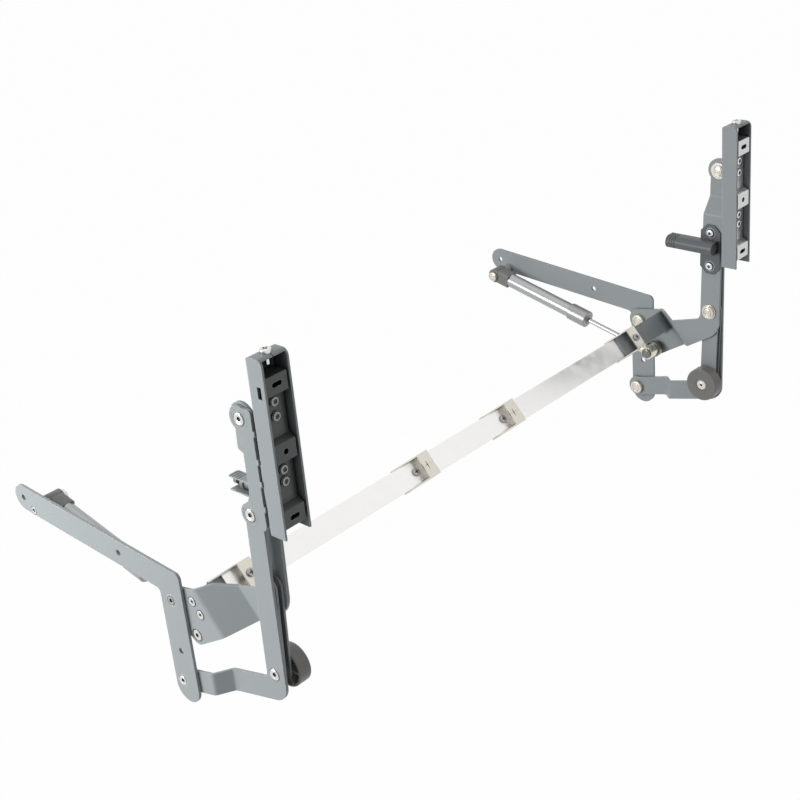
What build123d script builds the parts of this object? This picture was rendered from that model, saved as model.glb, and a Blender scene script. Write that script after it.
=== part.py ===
"""Gas spring lift-up fitting for a cabinet door, shown with the door bracket raised.

The frame has +X from the left cabinet wall to the right one, -Y to the front and +Z up.
The origin is half way between the walls, on the axis of the upper arm pivots.
Each side is drawn once, with X as the distance inward from its wall, and mirrored.
"""

import math
import os

from build123d import *

# Cabinet
INSIDE_WIDTH = 768.0

# Linkage pivots, from the upper arm pivot, as reach along Y and rise along Z
LOWER_PIVOT_BACK = 4.5
LOWER_PIVOT_DROP = 92.5
TIE_SETBACK = 4.5
TIE_RISE = 46.5
TOP_REACH = 122.0
TOP_RISE = 215.5

# Gas spring anchors
REAR_STUD_BACK = 210.0
REAR_STUD_RISE = 28.0
FRONT_STUD_REACH = 27.0
FRONT_STUD_DROP = 29.5

# Sheet thicknesses and the layers, as distances inward from the wall
SHEET = 3.0
LIGHT_SHEET = 2.0
ARM_GAP = 0.5
EAR_LAYER = 14.5
JOINT_GAP = 0.5
AXIAL_GAP = 0.1
FRONT_LAYER = 31.0
BEND_RADIUS = 3.0
RUNNING = 0.05
SMALL_ROUND = 3.0
BAND_REACH = 300.0

# Wall plate
PLATE_ARM_HEIGHT = 28.0
PLATE_SLOPE = 4.5
PLATE_FRONT = 17.5
PLATE_LEG_WIDTH = 32.0
PLATE_LEG_END = 98.0
PLATE_CORNER = 6.0
PLATE_INNER_FILLET = 5.0
WALL_HOLE = 3.25
WALL_HOLE_BACK = 224.0
WALL_HOLE_RISE = 38.5
WALL_HOLE_PITCH = 152.5
LEG_HOLE_FRONT = 1.7
LEG_HOLE_DROP = 56.0

# Upper arm
HUB_ROUND = 14.5
STUD_LOBE = 10.0
UNDER_SLOPE = 31.0
CREST = ((27.0, 20.0), (43.0, 25.5), (64.0, 23.0))
CREST_ROUND = 10.0
ELBOW_WIDTH = 25.0
ELBOW_DROP = 12.0
ELBOW_INNER = 10.0
ELBOW_OUTER = 27.0
TOP_BACK = 10.5
TOP_ROUND = 14.0
UPPER_JOGGLE_REACH = 38.0
UPPER_JOGGLE_RUN = 25.5
UPPER_JOGGLE_TILT = 40.5
TOP_BEND_RISE = 166.0
TOP_BEND_RUN = 18.0
ARM_SPLIT = 100.0

# Lower arm
LOWER_HUB_ROUND = 13.0
LOWER_ARM_WIDTH = 23.5
LOWER_LEG_ROUND = 11.0
LOWER_ARM_SLOPE = 14.4
LOWER_LEG_BACK = 10.5
LOWER_LEG_FRONT = 13.0
LOWER_ELBOW_INNER = 8.0
LOWER_ELBOW_OUTER = 20.0
LOWER_BEND_REACH = 38.0
LOWER_BEND_RUN = 14.0

# Ear plate and its weld tabs
EAR_TOP_ROUND = 12.0
EAR_LOW_ROUND = 11.0
EAR_TOP_RISE = 11.0
EAR_FRONT = 15.0
EAR_WAIST = 16.0
WAIST_ROUND = 8.0
TAB_HEIGHT = 5.0
TAB_DROPS = (10.0, 36.0, 57.0, 81.0)

# Door channel and the bracket in it
CHANNEL_GAP = 2.0
CHANNEL_DEPTH = 20.0
CHANNEL_WIDTH = 30.0
CHANNEL_BELOW = 12.0
CHANNEL_HEIGHT = 165.0
CHANNEL_CORNER = 6.0
CHANNEL_BEND = 3.0
WINDOW_DROP = 30.0
FLAP_SPLIT = 1.0
BRACKET_DROP = 26.0
BRACKET_WIDTH = 22.6
BRACKET_SIDE_GAP = 1.0
BRACKET_SINK = 0.6
PAD_RISE = 7.0
BRACKET_ROUND = 1.0
PAD_LENGTH = 17.0
PAD_SLOPE = 4.0
SLOT_LENGTH = 11.0
SLOT_WIDTH = 4.6
DOOR_HOLE = 2.75
DOOR_HOLE_INSET = 21.5
LOWER_SCREW_OFFSETS = (-29.5, -18.5)
UPPER_SCREW_INSET = 17.0

# Tie link
TIE_WIDTH = 20.0
TIE_DEPTH = 8.5
TIE_GAP = 1.0

# Roller
ROLLER_RADIUS = 20.0
ROLLER_WIDTH = 14.0
ROLLER_RIM = 2.5
ROLLER_HUB = 7.5
ROLLER_SPOKES = 6
ROLLER_SPOKE = 1.8
ROLLER_FACE = 3.0
ROLLER_AXLE = 4.0
ROLLER_RECESS = 2.5
ROLLER_EDGE = 1.0
AXLE_HEAD = 6.0

# Pins and fasteners
PIN_RADIUS = 5.0
PIN_HEAD = 6.5
NUT_RADIUS = 8.0
HEAD_SINK = 0.8
HOLLOW_RADIUS = 2.2
HOLLOW_DEPTH = 2.5
FLANGE_HEIGHT = 1.5
TIE_FLANGE = 9.0
TOP_FLANGE = 9.5
HEAD_HEIGHT = 0.4
NUT_HEIGHT = 4.5
RIVET_HEAD_HEIGHT = 0.4
SCREW_RADIUS = 2.4
SCREW_HEAD = 4.2
SCREW_HEAD_HEIGHT = 1.8
SOCKET_RADIUS = 1.7
SOCKET_DEPTH = 1.2
TOP_SCREW_HEAD = 5.0
TOP_SCREW_HEIGHT = 3.0
SLOT_CUT = 1.2

# Gas spring
SPRING_LAYER = 25.0
TUBE_RADIUS = 9.0
TUBE_WALL = 1.0
TUBE_START = 22.0
TUBE_END = 146.0
SLEEVE_RADIUS = 10.75
SLEEVE_LENGTH = 27.0
SLEEVE_CAP = 2.0
SLEEVE_EDGE = 1.0
NECK_START = 13.0
NECK_RADIUS = 4.0
ROD_RADIUS = 3.0
PISTON_LENGTH = 7.0
PISTON_GAP = 0.08
PISTON_SETBACK = 3.0
SEAL_LENGTH = 12.0
EYE_RADIUS = 8.0
EYE_WIDTH = 14.0
EYE_NECK = 22.0
ROD_SEAT = 1.0
REAR_EYE_RADIUS = 9.0
REAR_EYE_WIDTH = 18.0
REAR_BLOCK = 22.0
STUD_RADIUS = 4.0
STUD_FLANGE = 10.0
STUD_FLANGE_HEIGHT = 5.0
STUD_COLLAR = 6.0
STUD_CLEARANCE = 0.3

# Crossbar
BAR_REACH = 37.6
BAR_RISE = 8.0
BAR_WIDTH = 25.0
BAR_SHEET = 2.5
BAR_OVERLAP = 92.0
BAR_END_INSET = 38.0
STUB_LENGTH = 96.0
FOOT_DEPTH = 13.0
FOOT_SCREW_DROP = 1.0
FOOT_SCREW_PITCH = 14.4
LEFT_CLAMP_INSET = 61.0
RIGHT_CLAMP_INSET = 81.0
INNER_CLAMPS = (-73.0, 70.0)
CLAMP_WEB = 15.5
CLAMP_LEG = 29.0
CLAMP_SHEET = 1.5
CLAMP_RISE = 7.0
CLAMP_SLACK = 0.1
CLAMP_LIP = 4.0
CLAMP_TAIL_SCREW = 13.5
CLAMP_SCREW = 8.0
BAR_BEND = 2.0

# Closing damper
DAMPER_RISE = 130.0
DAMPER_AHEAD = 8.0
DAMPER_LENGTH = 61.0
DAMPER_ROUND = 7.5
DAMPER_OFFSET = 10.0
HOLDER_SHEET = 1.5
HOLDER_LENGTH = 60.0
HOLDER_WIDTH = 26.0
HOLDER_CHAMFER = 8.0
HOLDER_SCREW_PITCH = 40.4
HOLDER_OFFSET = 5.0
CYLINDER_RADIUS = 4.8
COLLAR_LENGTH = 4.0
PLUNGER_REACH = 10.0
PLUNGER_DEPTH = 20.0
PLUNGER_RADIUS = 2.0
PLUNGER_TRAVEL = 6.0
GROOVES = 4
GROOVE_PITCH = 3.2
GROOVE_WIDTH = 1.2
GROOVE_DEPTH = 0.5

# Places that follow from the cabinet, the door pivots and the channel
TIE_REACH = TOP_REACH - TIE_SETBACK
DAMPER_REACH = TOP_REACH + DAMPER_AHEAD
DOOR_HOLE_PITCH = CHANNEL_HEIGHT / 2 - DOOR_HOLE_INSET
UPPER_SCREW_OFFSETS = (DOOR_HOLE_PITCH / 2, DOOR_HOLE_PITCH - UPPER_SCREW_INSET)
BAR_END = INSIDE_WIDTH / 2 - BAR_END_INSET
CLAMP_SPOTS = (
    LEFT_CLAMP_INSET - INSIDE_WIDTH / 2,
    *INNER_CLAMPS,
    INSIDE_WIDTH / 2 - RIGHT_CLAMP_INSET,
)

# Points of the linkage, as (y, z)
HUB = (0.0, 0.0)
LOWER_HUB = (LOWER_PIVOT_BACK, -LOWER_PIVOT_DROP)
TIE_TOP = (-TIE_REACH, TIE_RISE)
TIE_LOW = (LOWER_PIVOT_BACK - TIE_REACH, TIE_RISE - LOWER_PIVOT_DROP)
EAR_TOP = (-TOP_REACH, TOP_RISE)
EAR_LOW = (LOWER_PIVOT_BACK - TOP_REACH, TOP_RISE - LOWER_PIVOT_DROP)
REAR_STUD = (REAR_STUD_BACK, REAR_STUD_RISE)
FRONT_STUD = (-FRONT_STUD_REACH, -FRONT_STUD_DROP)
SPRING_REACH = math.hypot(REAR_STUD_BACK + FRONT_STUD_REACH, REAR_STUD_RISE + FRONT_STUD_DROP)
SPRING_TURN = 180 + math.degrees(
    math.atan2(REAR_STUD_RISE + FRONT_STUD_DROP, REAR_STUD_BACK + FRONT_STUD_REACH)
)

# Layers worked out from the sheets
PIVOT_LAYER = SHEET + ARM_GAP
PIVOT_FACE = PIVOT_LAYER + SHEET
INNER_LAYER = EAR_LAYER + SHEET + JOINT_GAP
TIE_LAYER = INNER_LAYER + SHEET + TIE_GAP
ROLLER_LAYER = TIE_LAYER + TIE_DEPTH + JOINT_GAP
FRONT_FACE = FRONT_LAYER + SHEET
CHANNEL_LAYER = EAR_LAYER + (SHEET - LIGHT_SHEET) / 2


def shifted(point, dy, dz):
    """Point moved by dy and dz in the side plane."""
    return (point[0] + dy, point[1] + dz)


def side_face(corners):
    """Closed face in the side plane from (y, z, corner radius) triples."""
    points = [(y, z) for y, z, _ in corners]
    radii = [radius for _, _, radius in corners]
    return Plane.YZ * make_face(FilletPolyline(*points, radius=radii, close=True))


def side_disc(point, radius):
    """Disc in the side plane."""
    return Pos(0, point[0], point[1]) * (Plane.YZ * Circle(radius))


def side_bar(start, end, width):
    """Face in the side plane with a full round at both points."""
    reach = math.hypot(end[0] - start[0], end[1] - start[1])
    turn = math.degrees(math.atan2(end[1] - start[1], end[0] - start[0]))
    bar = Pos(reach / 2, 0) * SlotCenterToCenter(reach, width)
    return Plane.YZ * (Pos(start[0], start[1]) * Rot(0, 0, turn) * bar)


def layer(face, start, thickness):
    """Face in the side plane made into a sheet from one layer inward."""
    return extrude(Pos(start, 0, 0) * face, amount=thickness, dir=(1, 0, 0))


def rod_between(point, start, end, radius):
    """Round bar across the layers at a point of the side plane."""
    middle = (start + end) / 2
    return Pos(middle, point[0], point[1]) * Rot(0, 90, 0) * Cylinder(radius, end - start)


def stepped_pin(point, *steps):
    """Pin across the layers made of coaxial steps, each (start, end, radius)."""
    pin = rod_between(point, *steps[0])
    for step in steps[1:]:
        pin += rod_between(point, *step)
    return pin


def joggle_band(bend, run, tilt, low, high, reach):
    """Sheet that climbs from one layer to another between two parallel bends.

    The first bend passes through the point bend. The sheet runs forward from there,
    square to the bend lines, which lean by tilt degrees from the vertical.
    """
    rise = (high - low) / run
    skew = SHEET * (math.hypot(1, rise) - 1) / rise
    inner = BEND_RADIUS
    outer = BEND_RADIUS + SHEET
    if rise < 0:
        inner, outer = outer, inner
    corners = [
        (-reach, low, 0),
        (skew / 2, low, outer),
        (run + skew / 2, high, inner),
        (run + reach, high, 0),
        (run + reach, high + SHEET, 0),
        (run - skew / 2, high + SHEET, outer),
        (-skew / 2, low + SHEET, inner),
        (-reach, low + SHEET, 0),
    ]
    points = [(along, across) for along, across, _ in corners]
    radii = [radius for _, _, radius in corners]
    section = make_face(FilletPolyline(*points, radius=radii, close=True))
    band = extrude(section, amount=reach, both=True)
    stand = Plane(origin=(0, 0, 0), x_dir=(0, -1, 0), z_dir=(0, 0, 1))
    return Pos(0, bend[0], bend[1]) * Rot(-tilt, 0, 0) * (stand * band)


def screw(point, face, length, inward=1):
    """Screw with a socket head on a face and its shank going into the sheet."""
    head = rod_between(point, face, face + inward * SCREW_HEAD_HEIGHT, SCREW_HEAD)
    shank = rod_between(point, face - inward * length, face, SCREW_RADIUS)
    top = face + inward * SCREW_HEAD_HEIGHT
    socket = rod_between(point, top - inward * SOCKET_DEPTH, top, SOCKET_RADIUS)
    return head + shank - socket


def joined(left):
    """One node that holds a left piece and its mirror image."""
    return Compound(children=[on_left(left), on_right(left)])


def on_left(shape):
    """Piece drawn from the wall, put at the left wall."""
    return Pos(-INSIDE_WIDTH / 2, 0, 0) * shape


def on_right(shape):
    """Piece drawn from the wall, mirrored to the right wall."""
    return mirror(on_left(shape), about=Plane.YZ)


def plate_axis(y):
    """Height of the wall plate's long arm at a distance back."""
    return WALL_HOLE_RISE + (y - WALL_HOLE_BACK) * math.tan(math.radians(PLATE_SLOPE))


def base_plate():
    """Wall plate: long arm to the rear, leg down at the front, and its holes."""
    half = PLATE_ARM_HEIGHT / 2 / math.cos(math.radians(PLATE_SLOPE))
    back = PLATE_LEG_WIDTH - PLATE_FRONT
    rear_hole = (WALL_HOLE_BACK, WALL_HOLE_RISE)
    middle = WALL_HOLE_BACK - WALL_HOLE_PITCH * math.cos(math.radians(PLATE_SLOPE))
    middle_hole = (middle, plate_axis(middle))
    leg_hole = (-LEG_HOLE_FRONT, -LEG_HOLE_DROP)
    face = side_face(
        [
            (-PLATE_FRONT, plate_axis(-PLATE_FRONT) + half, PLATE_CORNER),
            (WALL_HOLE_BACK, plate_axis(WALL_HOLE_BACK) + half, 0),
            (WALL_HOLE_BACK, plate_axis(WALL_HOLE_BACK) - half, 0),
            (back, plate_axis(back) - half, PLATE_INNER_FILLET),
            (back, -PLATE_LEG_END, 0),
            (-PLATE_FRONT, -PLATE_LEG_END, 0),
        ]
    )
    face += side_disc(rear_hole, PLATE_ARM_HEIGHT / 2)
    face += side_disc((back - PLATE_LEG_WIDTH / 2, -PLATE_LEG_END), PLATE_LEG_WIDTH / 2)
    plate = layer(face, 0, SHEET)
    for spot in (rear_hole, middle_hole, leg_hole):
        plate -= rod_between(spot, 0, SHEET, WALL_HOLE)
    for spot in (HUB, LOWER_HUB):
        plate -= rod_between(spot, 0, SHEET, PIN_RADIUS)
        plate -= rod_between(spot, 0, HEAD_SINK, PIN_HEAD)
    return plate - rod_between(REAR_STUD, 0, SHEET, STUD_RADIUS)


def wall_pin(point):
    """Pivot pin set in the wall plate, with its nut on the inner face of an arm."""
    nut = PIVOT_FACE + AXIAL_GAP
    pin = stepped_pin(
        point,
        (0, HEAD_SINK, PIN_HEAD),
        (0, nut, PIN_RADIUS),
        (SHEET, PIVOT_LAYER - AXIAL_GAP, PIN_HEAD),
        (nut, nut + NUT_HEIGHT, NUT_RADIUS),
    )
    return pin - rod_between(point, 0, HOLLOW_DEPTH, HOLLOW_RADIUS)


def rear_rivet():
    """Riveted end of the rear stud, flush in the wall plate."""
    rivet = rod_between(REAR_STUD, 0, SHEET, STUD_RADIUS)
    return rivet - rod_between(REAR_STUD, 0, SOCKET_DEPTH, HOLLOW_RADIUS)


def rear_stud():
    """Stud of the gas spring's rear end, with its collar by the wall plate."""
    start = SHEET + STUD_CLEARANCE
    eye = SPRING_LAYER - REAR_EYE_WIDTH / 2
    end = SPRING_LAYER + REAR_EYE_WIDTH / 2
    return stepped_pin(
        REAR_STUD,
        (start, eye, STUD_COLLAR),
        (start, end, STUD_RADIUS),
        (end, end + NUT_HEIGHT, STUD_COLLAR),
    )


def upper_arm_face():
    """Outline of the upper arm: hub, spring lobe, elbow and the long leg."""
    hub_low, stud_low = outer_tangent(HUB, FRONT_STUD, HUB_ROUND, STUD_LOBE)
    under = math.radians(UNDER_SLOPE)
    stud_front = shifted(FRONT_STUD, -STUD_LOBE * math.sin(under), -STUD_LOBE * math.cos(under))
    elbow_y = TIE_TOP[0] - ELBOW_WIDTH / 2
    elbow_z = stud_front[1] + (stud_front[0] - elbow_y) * math.tan(under)
    crest = [(-reach, rise, CREST_ROUND) for reach, rise in CREST]
    face = side_face(
        [
            (HUB[0], HUB_ROUND, 0),
            *crest,
            (TIE_TOP[0] + ELBOW_WIDTH / 2, TIE_TOP[1] - ELBOW_DROP, ELBOW_INNER),
            (EAR_TOP[0] + TOP_BACK, EAR_TOP[1], 0),
            (EAR_TOP[0] - TOP_ROUND, EAR_TOP[1], 0),
            (elbow_y, elbow_z, ELBOW_OUTER),
            (stud_front[0], stud_front[1], 0),
            (FRONT_STUD[0], FRONT_STUD[1], 0),
            (stud_low[0], stud_low[1], 0),
            (hub_low[0], hub_low[1], 0),
            (HUB_ROUND, HUB[1], 0),
        ]
    )
    face += side_disc(EAR_TOP, TOP_ROUND)
    face += side_disc(FRONT_STUD, STUD_LOBE)
    return face + side_disc(HUB, HUB_ROUND)


def outer_tangent(start, end, start_radius, end_radius):
    """Touching points of the straight edge below two discs, the first behind the second."""
    reach = math.hypot(end[0] - start[0], end[1] - start[1])
    turn = math.atan2(end[1] - start[1], end[0] - start[0])
    lean = turn + math.acos((start_radius - end_radius) / reach)
    step = (math.cos(lean), math.sin(lean))
    touch = shifted(start, start_radius * step[0], start_radius * step[1])
    return touch, shifted(end, end_radius * step[0], end_radius * step[1])


def upper_arm():
    """Upper arm: flat at the hub, joggled inward, then outward again at the top."""
    sheet = layer(upper_arm_face(), 0, FRONT_FACE + SHEET)
    lean = math.radians(UPPER_JOGGLE_TILT)
    first = (-UPPER_JOGGLE_REACH * math.cos(lean), UPPER_JOGGLE_REACH * math.sin(lean))
    hub_band = joggle_band(
        first, UPPER_JOGGLE_RUN, UPPER_JOGGLE_TILT, PIVOT_LAYER, FRONT_LAYER, BAND_REACH
    )
    top_band = joggle_band(
        (0, TOP_BEND_RISE), TOP_BEND_RUN, 90, FRONT_LAYER, INNER_LAYER, BAND_REACH
    )
    above = Pos(0, 0, ARM_SPLIT) * Box(
        BAND_REACH, 2 * BAND_REACH, BAND_REACH, align=(Align.CENTER, Align.CENTER, Align.MIN)
    )
    arm = (sheet - above) & hub_band
    arm += (sheet & above) & top_band
    arm -= rod_between(HUB, 0, PIVOT_FACE, PIN_RADIUS + RUNNING)
    arm -= rod_between(FRONT_STUD, 0, PIVOT_FACE, STUD_RADIUS)
    arm -= rod_between(TIE_TOP, FRONT_LAYER, FRONT_FACE, PIN_RADIUS)
    arm -= rod_between(EAR_TOP, INNER_LAYER, INNER_LAYER + SHEET, PIN_RADIUS)
    for spot in foot_rivet_spots():
        arm -= rod_between(spot, PIVOT_LAYER, PIVOT_FACE, SCREW_RADIUS)
    for spot in holder_screw_spots():
        arm -= rod_between(spot, FRONT_LAYER, FRONT_FACE, SCREW_RADIUS)
    return arm


def foot_rivet_spots():
    """Rivets of the crossbar bracket, in a row along the width of the bar."""
    spots = []
    for side in (1, -1):
        along = side * FOOT_SCREW_PITCH / 2 - FOOT_SCREW_DROP
        spots.append(bar_point(along, -(FOOT_DEPTH + BAR_SHEET) / 2))
    return spots


def bar_point(along, forward):
    """Point of the side plane from the crossbar's middle, along its width and forward."""
    lean = math.radians(UPPER_JOGGLE_TILT)
    y = -BAR_REACH + along * math.sin(lean) - forward * math.cos(lean)
    return (y, BAR_RISE + along * math.cos(lean) + forward * math.sin(lean))


def holder_screw_spots():
    """Screws of the damper holder, above and below the damper."""
    middle = holder_middle()
    up = holder_direction()
    half = HOLDER_SCREW_PITCH / 2
    return [shifted(middle, up[0] * step, up[1] * step) for step in (half, -half)]


def holder_direction():
    """Unit step up the leg of the upper arm."""
    reach = math.hypot(EAR_TOP[0] - TIE_TOP[0], EAR_TOP[1] - TIE_TOP[1])
    return ((EAR_TOP[0] - TIE_TOP[0]) / reach, (EAR_TOP[1] - TIE_TOP[1]) / reach)


def holder_middle():
    """Middle of the damper holder, on the leg of the upper arm."""
    up = holder_direction()
    step = (DAMPER_RISE - HOLDER_OFFSET - TIE_TOP[1]) / up[1]
    return shifted(TIE_TOP, up[0] * step, up[1] * step)


def arm_screws():
    """Rivets of the crossbar bracket and screws of the damper holder, in one arm."""
    rivets = []
    outer = PIVOT_LAYER - RIVET_HEAD_HEIGHT
    inner = PIVOT_FACE + BAR_SHEET
    for spot in foot_rivet_spots():
        rivet = stepped_pin(
            spot,
            (outer, PIVOT_LAYER, SCREW_HEAD),
            (outer, inner, SCREW_RADIUS),
            (inner, inner + SCREW_HEAD_HEIGHT, SCREW_HEAD),
        )
        rivets.append(rivet - rod_between(spot, outer, outer + SOCKET_DEPTH, SOCKET_RADIUS))
    face = FRONT_FACE + HOLDER_SHEET
    for spot in holder_screw_spots():
        rivets.append(screw(spot, face, SHEET + HOLDER_SHEET))
    return Compound(children=rivets)


def lower_arm():
    """Lower arm: flat at the hub, one joggle inward and the leg up to the ear plate."""
    slope = math.radians(LOWER_ARM_SLOPE)
    half = LOWER_ARM_WIDTH / 2 / math.cos(slope)

    def middle(y):
        return LOWER_HUB[1] + (LOWER_HUB[0] - y) * math.tan(slope)

    leg_back = TIE_LOW[0] + LOWER_LEG_BACK
    leg_front = TIE_LOW[0] - LOWER_LEG_FRONT
    face = side_face(
        [
            (LOWER_HUB[0], middle(LOWER_HUB[0]) + half, 0),
            (leg_back, middle(leg_back) + half, LOWER_ELBOW_INNER),
            (EAR_LOW[0] + LOWER_LEG_ROUND, EAR_LOW[1], 0),
            (EAR_LOW[0] - LOWER_LEG_ROUND, EAR_LOW[1], 0),
            (leg_front, middle(leg_front) - half, LOWER_ELBOW_OUTER),
            (LOWER_HUB[0], middle(LOWER_HUB[0]) - half, 0),
        ]
    )
    face += side_disc(EAR_LOW, LOWER_LEG_ROUND)
    face += side_disc(LOWER_HUB, LOWER_HUB_ROUND)
    band = joggle_band(
        (-LOWER_BEND_REACH, LOWER_HUB[1]), LOWER_BEND_RUN, 0, PIVOT_LAYER, INNER_LAYER, BAND_REACH
    )
    arm = layer(face, 0, FRONT_FACE) & band
    arm -= rod_between(LOWER_HUB, 0, PIVOT_FACE, PIN_RADIUS + RUNNING)
    arm -= rod_between(TIE_LOW, INNER_LAYER, INNER_LAYER + SHEET, PIN_RADIUS)
    return arm - rod_between(EAR_LOW, INNER_LAYER, INNER_LAYER + SHEET, PIN_RADIUS + RUNNING)


def tie_link():
    """Link between the two arms: folded from light sheet and open to the front."""
    blank = layer(side_bar(TIE_TOP, TIE_LOW, TIE_WIDTH), TIE_LAYER, TIE_DEPTH)
    turn = math.degrees(math.atan2(TIE_TOP[0] - TIE_LOW[0], TIE_TOP[1] - TIE_LOW[1]))
    reach = math.hypot(TIE_TOP[0] - TIE_LOW[0], TIE_TOP[1] - TIE_LOW[1])
    middle = ((TIE_TOP[0] + TIE_LOW[0]) / 2, (TIE_TOP[1] + TIE_LOW[1]) / 2)
    hollow = Box(TIE_DEPTH - 2 * LIGHT_SHEET, TIE_WIDTH, reach + 2 * TIE_WIDTH)
    hollow = Pos(0, -LIGHT_SHEET, 0) * hollow
    link = blank - Pos(TIE_LAYER + TIE_DEPTH / 2, *middle) * Rot(-turn, 0, 0) * hollow
    for spot in (TIE_TOP, TIE_LOW):
        link -= rod_between(spot, TIE_LAYER, TIE_LAYER + TIE_DEPTH, PIN_RADIUS + RUNNING)
    return link


def tie_pin():
    """Pin at the top of the tie link, fixed in the upper arm with a flange nut."""
    head = TIE_LAYER - HEAD_HEIGHT - AXIAL_GAP
    return stepped_pin(
        TIE_TOP,
        (head, TIE_LAYER - AXIAL_GAP, PIN_HEAD),
        (head, FRONT_FACE, PIN_RADIUS),
        (FRONT_FACE, FRONT_FACE + FLANGE_HEIGHT, TIE_FLANGE),
        (FRONT_FACE + FLANGE_HEIGHT, FRONT_FACE + NUT_HEIGHT, PIN_RADIUS),
    )


def top_pin():
    """Pin at the top of the ear plate, fixed in the upper arm with a flange nut."""
    head = EAR_LAYER - HEAD_HEIGHT - AXIAL_GAP
    face = INNER_LAYER + SHEET
    pin = stepped_pin(
        EAR_TOP,
        (head, EAR_LAYER - AXIAL_GAP, PIN_HEAD),
        (head, face, PIN_RADIUS),
        (face, face + FLANGE_HEIGHT, TOP_FLANGE),
        (face + FLANGE_HEIGHT, face + SHEET, PIN_RADIUS),
    )
    return pin - rod_between(EAR_TOP, head, head + HOLLOW_DEPTH, HOLLOW_RADIUS)


def ear_pin():
    """Pin at the bottom of the ear plate, riveted there, with the lower arm on it."""
    head = EAR_LAYER - HEAD_HEIGHT
    inner = INNER_LAYER + SHEET + AXIAL_GAP
    pin = stepped_pin(
        EAR_LOW,
        (head, EAR_LAYER, PIN_HEAD),
        (head, inner, PIN_RADIUS),
        (inner, inner + SHEET, PIN_HEAD),
    )
    return pin - rod_between(EAR_LOW, head, head + HOLLOW_DEPTH, HOLLOW_RADIUS)


def roller_axle():
    """Axle fixed in the lower arm: through the tie link first, then the roller."""
    head = INNER_LAYER - HEAD_HEIGHT
    seat = ROLLER_LAYER + ROLLER_WIDTH - ROLLER_RECESS
    axle = stepped_pin(
        TIE_LOW,
        (head, INNER_LAYER, PIN_HEAD),
        (head, ROLLER_LAYER - AXIAL_GAP, PIN_RADIUS),
        (head, seat + AXIAL_GAP, ROLLER_AXLE),
        (seat + AXIAL_GAP, seat + AXIAL_GAP + SCREW_HEAD_HEIGHT, AXLE_HEAD),
    )
    axle -= rod_between(TIE_LOW, head, head + HOLLOW_DEPTH, HOLLOW_RADIUS)
    top = seat + AXIAL_GAP + SCREW_HEAD_HEIGHT
    return axle - rod_between(TIE_LOW, top - SOCKET_DEPTH, top, SOCKET_RADIUS)


def roller():
    """Moulded roller: closed inner face, open outer face with hub, rim and spokes."""
    end = ROLLER_LAYER + ROLLER_WIDTH
    body = rod_between(TIE_LOW, ROLLER_LAYER, end, ROLLER_RADIUS)
    body = fillet(body.edges().filter_by(GeomType.CIRCLE), ROLLER_EDGE)
    pocket = end - ROLLER_FACE - ROLLER_RECESS
    body -= rod_between(TIE_LOW, ROLLER_LAYER, pocket, ROLLER_RADIUS - ROLLER_RIM)
    body += rod_between(TIE_LOW, ROLLER_LAYER, end - ROLLER_RECESS, ROLLER_HUB)
    length = ROLLER_RADIUS - ROLLER_RIM - ROLLER_HUB + ROLLER_RIM
    for index in range(ROLLER_SPOKES):
        spoke = Box(pocket - ROLLER_LAYER, length, ROLLER_SPOKE)
        spoke = Pos((pocket + ROLLER_LAYER) / 2, ROLLER_HUB - ROLLER_RIM / 2 + length / 2, 0) * spoke
        body += Pos(0, *TIE_LOW) * Rot(360 / ROLLER_SPOKES * index, 0, 0) * spoke
    body -= rod_between(TIE_LOW, ROLLER_LAYER, end, ROLLER_AXLE + RUNNING)
    return body - rod_between(TIE_LOW, end - ROLLER_RECESS, end, AXLE_HEAD + JOINT_GAP)


def ear_plate():
    """Coupler plate with its two lobes, and the weld tabs to the door channel."""
    front = EAR_TOP[0] - EAR_FRONT
    waist = front + EAR_WAIST
    face = side_face(
        [
            (front, EAR_TOP[1] + EAR_TOP_RISE, SMALL_ROUND),
            (EAR_TOP[0], EAR_TOP[1] + EAR_TOP_RISE, 0),
            (EAR_TOP[0] + EAR_TOP_ROUND / 2, EAR_TOP[1], 0),
            (waist, EAR_TOP[1] - EAR_TOP_ROUND - SMALL_ROUND, WAIST_ROUND),
            (waist, EAR_LOW[1] + 2 * EAR_LOW_ROUND, WAIST_ROUND),
            (EAR_LOW[0] + EAR_LOW_ROUND / 2, EAR_LOW[1], 0),
            (EAR_LOW[0], EAR_LOW[1] - EAR_LOW_ROUND, 0),
            (front, EAR_LOW[1] - EAR_LOW_ROUND, PLATE_CORNER),
        ]
    )
    face += side_disc(EAR_TOP, EAR_TOP_ROUND)
    face += side_disc(EAR_LOW, EAR_LOW_ROUND)
    plate = layer(face, EAR_LAYER, SHEET)
    for drop in TAB_DROPS:
        tab = Box(SHEET, CHANNEL_GAP + SHEET, TAB_HEIGHT)
        middle = front - CHANNEL_GAP / 2 + SHEET / 2
        plate += Pos(EAR_LAYER + SHEET / 2, middle, EAR_TOP[1] - drop) * tab
    plate -= rod_between(EAR_TOP, EAR_LAYER, EAR_LAYER + SHEET, PIN_RADIUS + RUNNING)
    return plate - rod_between(EAR_LOW, EAR_LAYER, EAR_LAYER + SHEET, PIN_RADIUS)


def door_middle():
    """Height of the middle hole of the door bracket."""
    return EAR_TOP[1] - BRACKET_DROP


def channel_back():
    """Rear face of the door channel."""
    return EAR_TOP[0] - EAR_FRONT - CHANNEL_GAP


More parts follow.
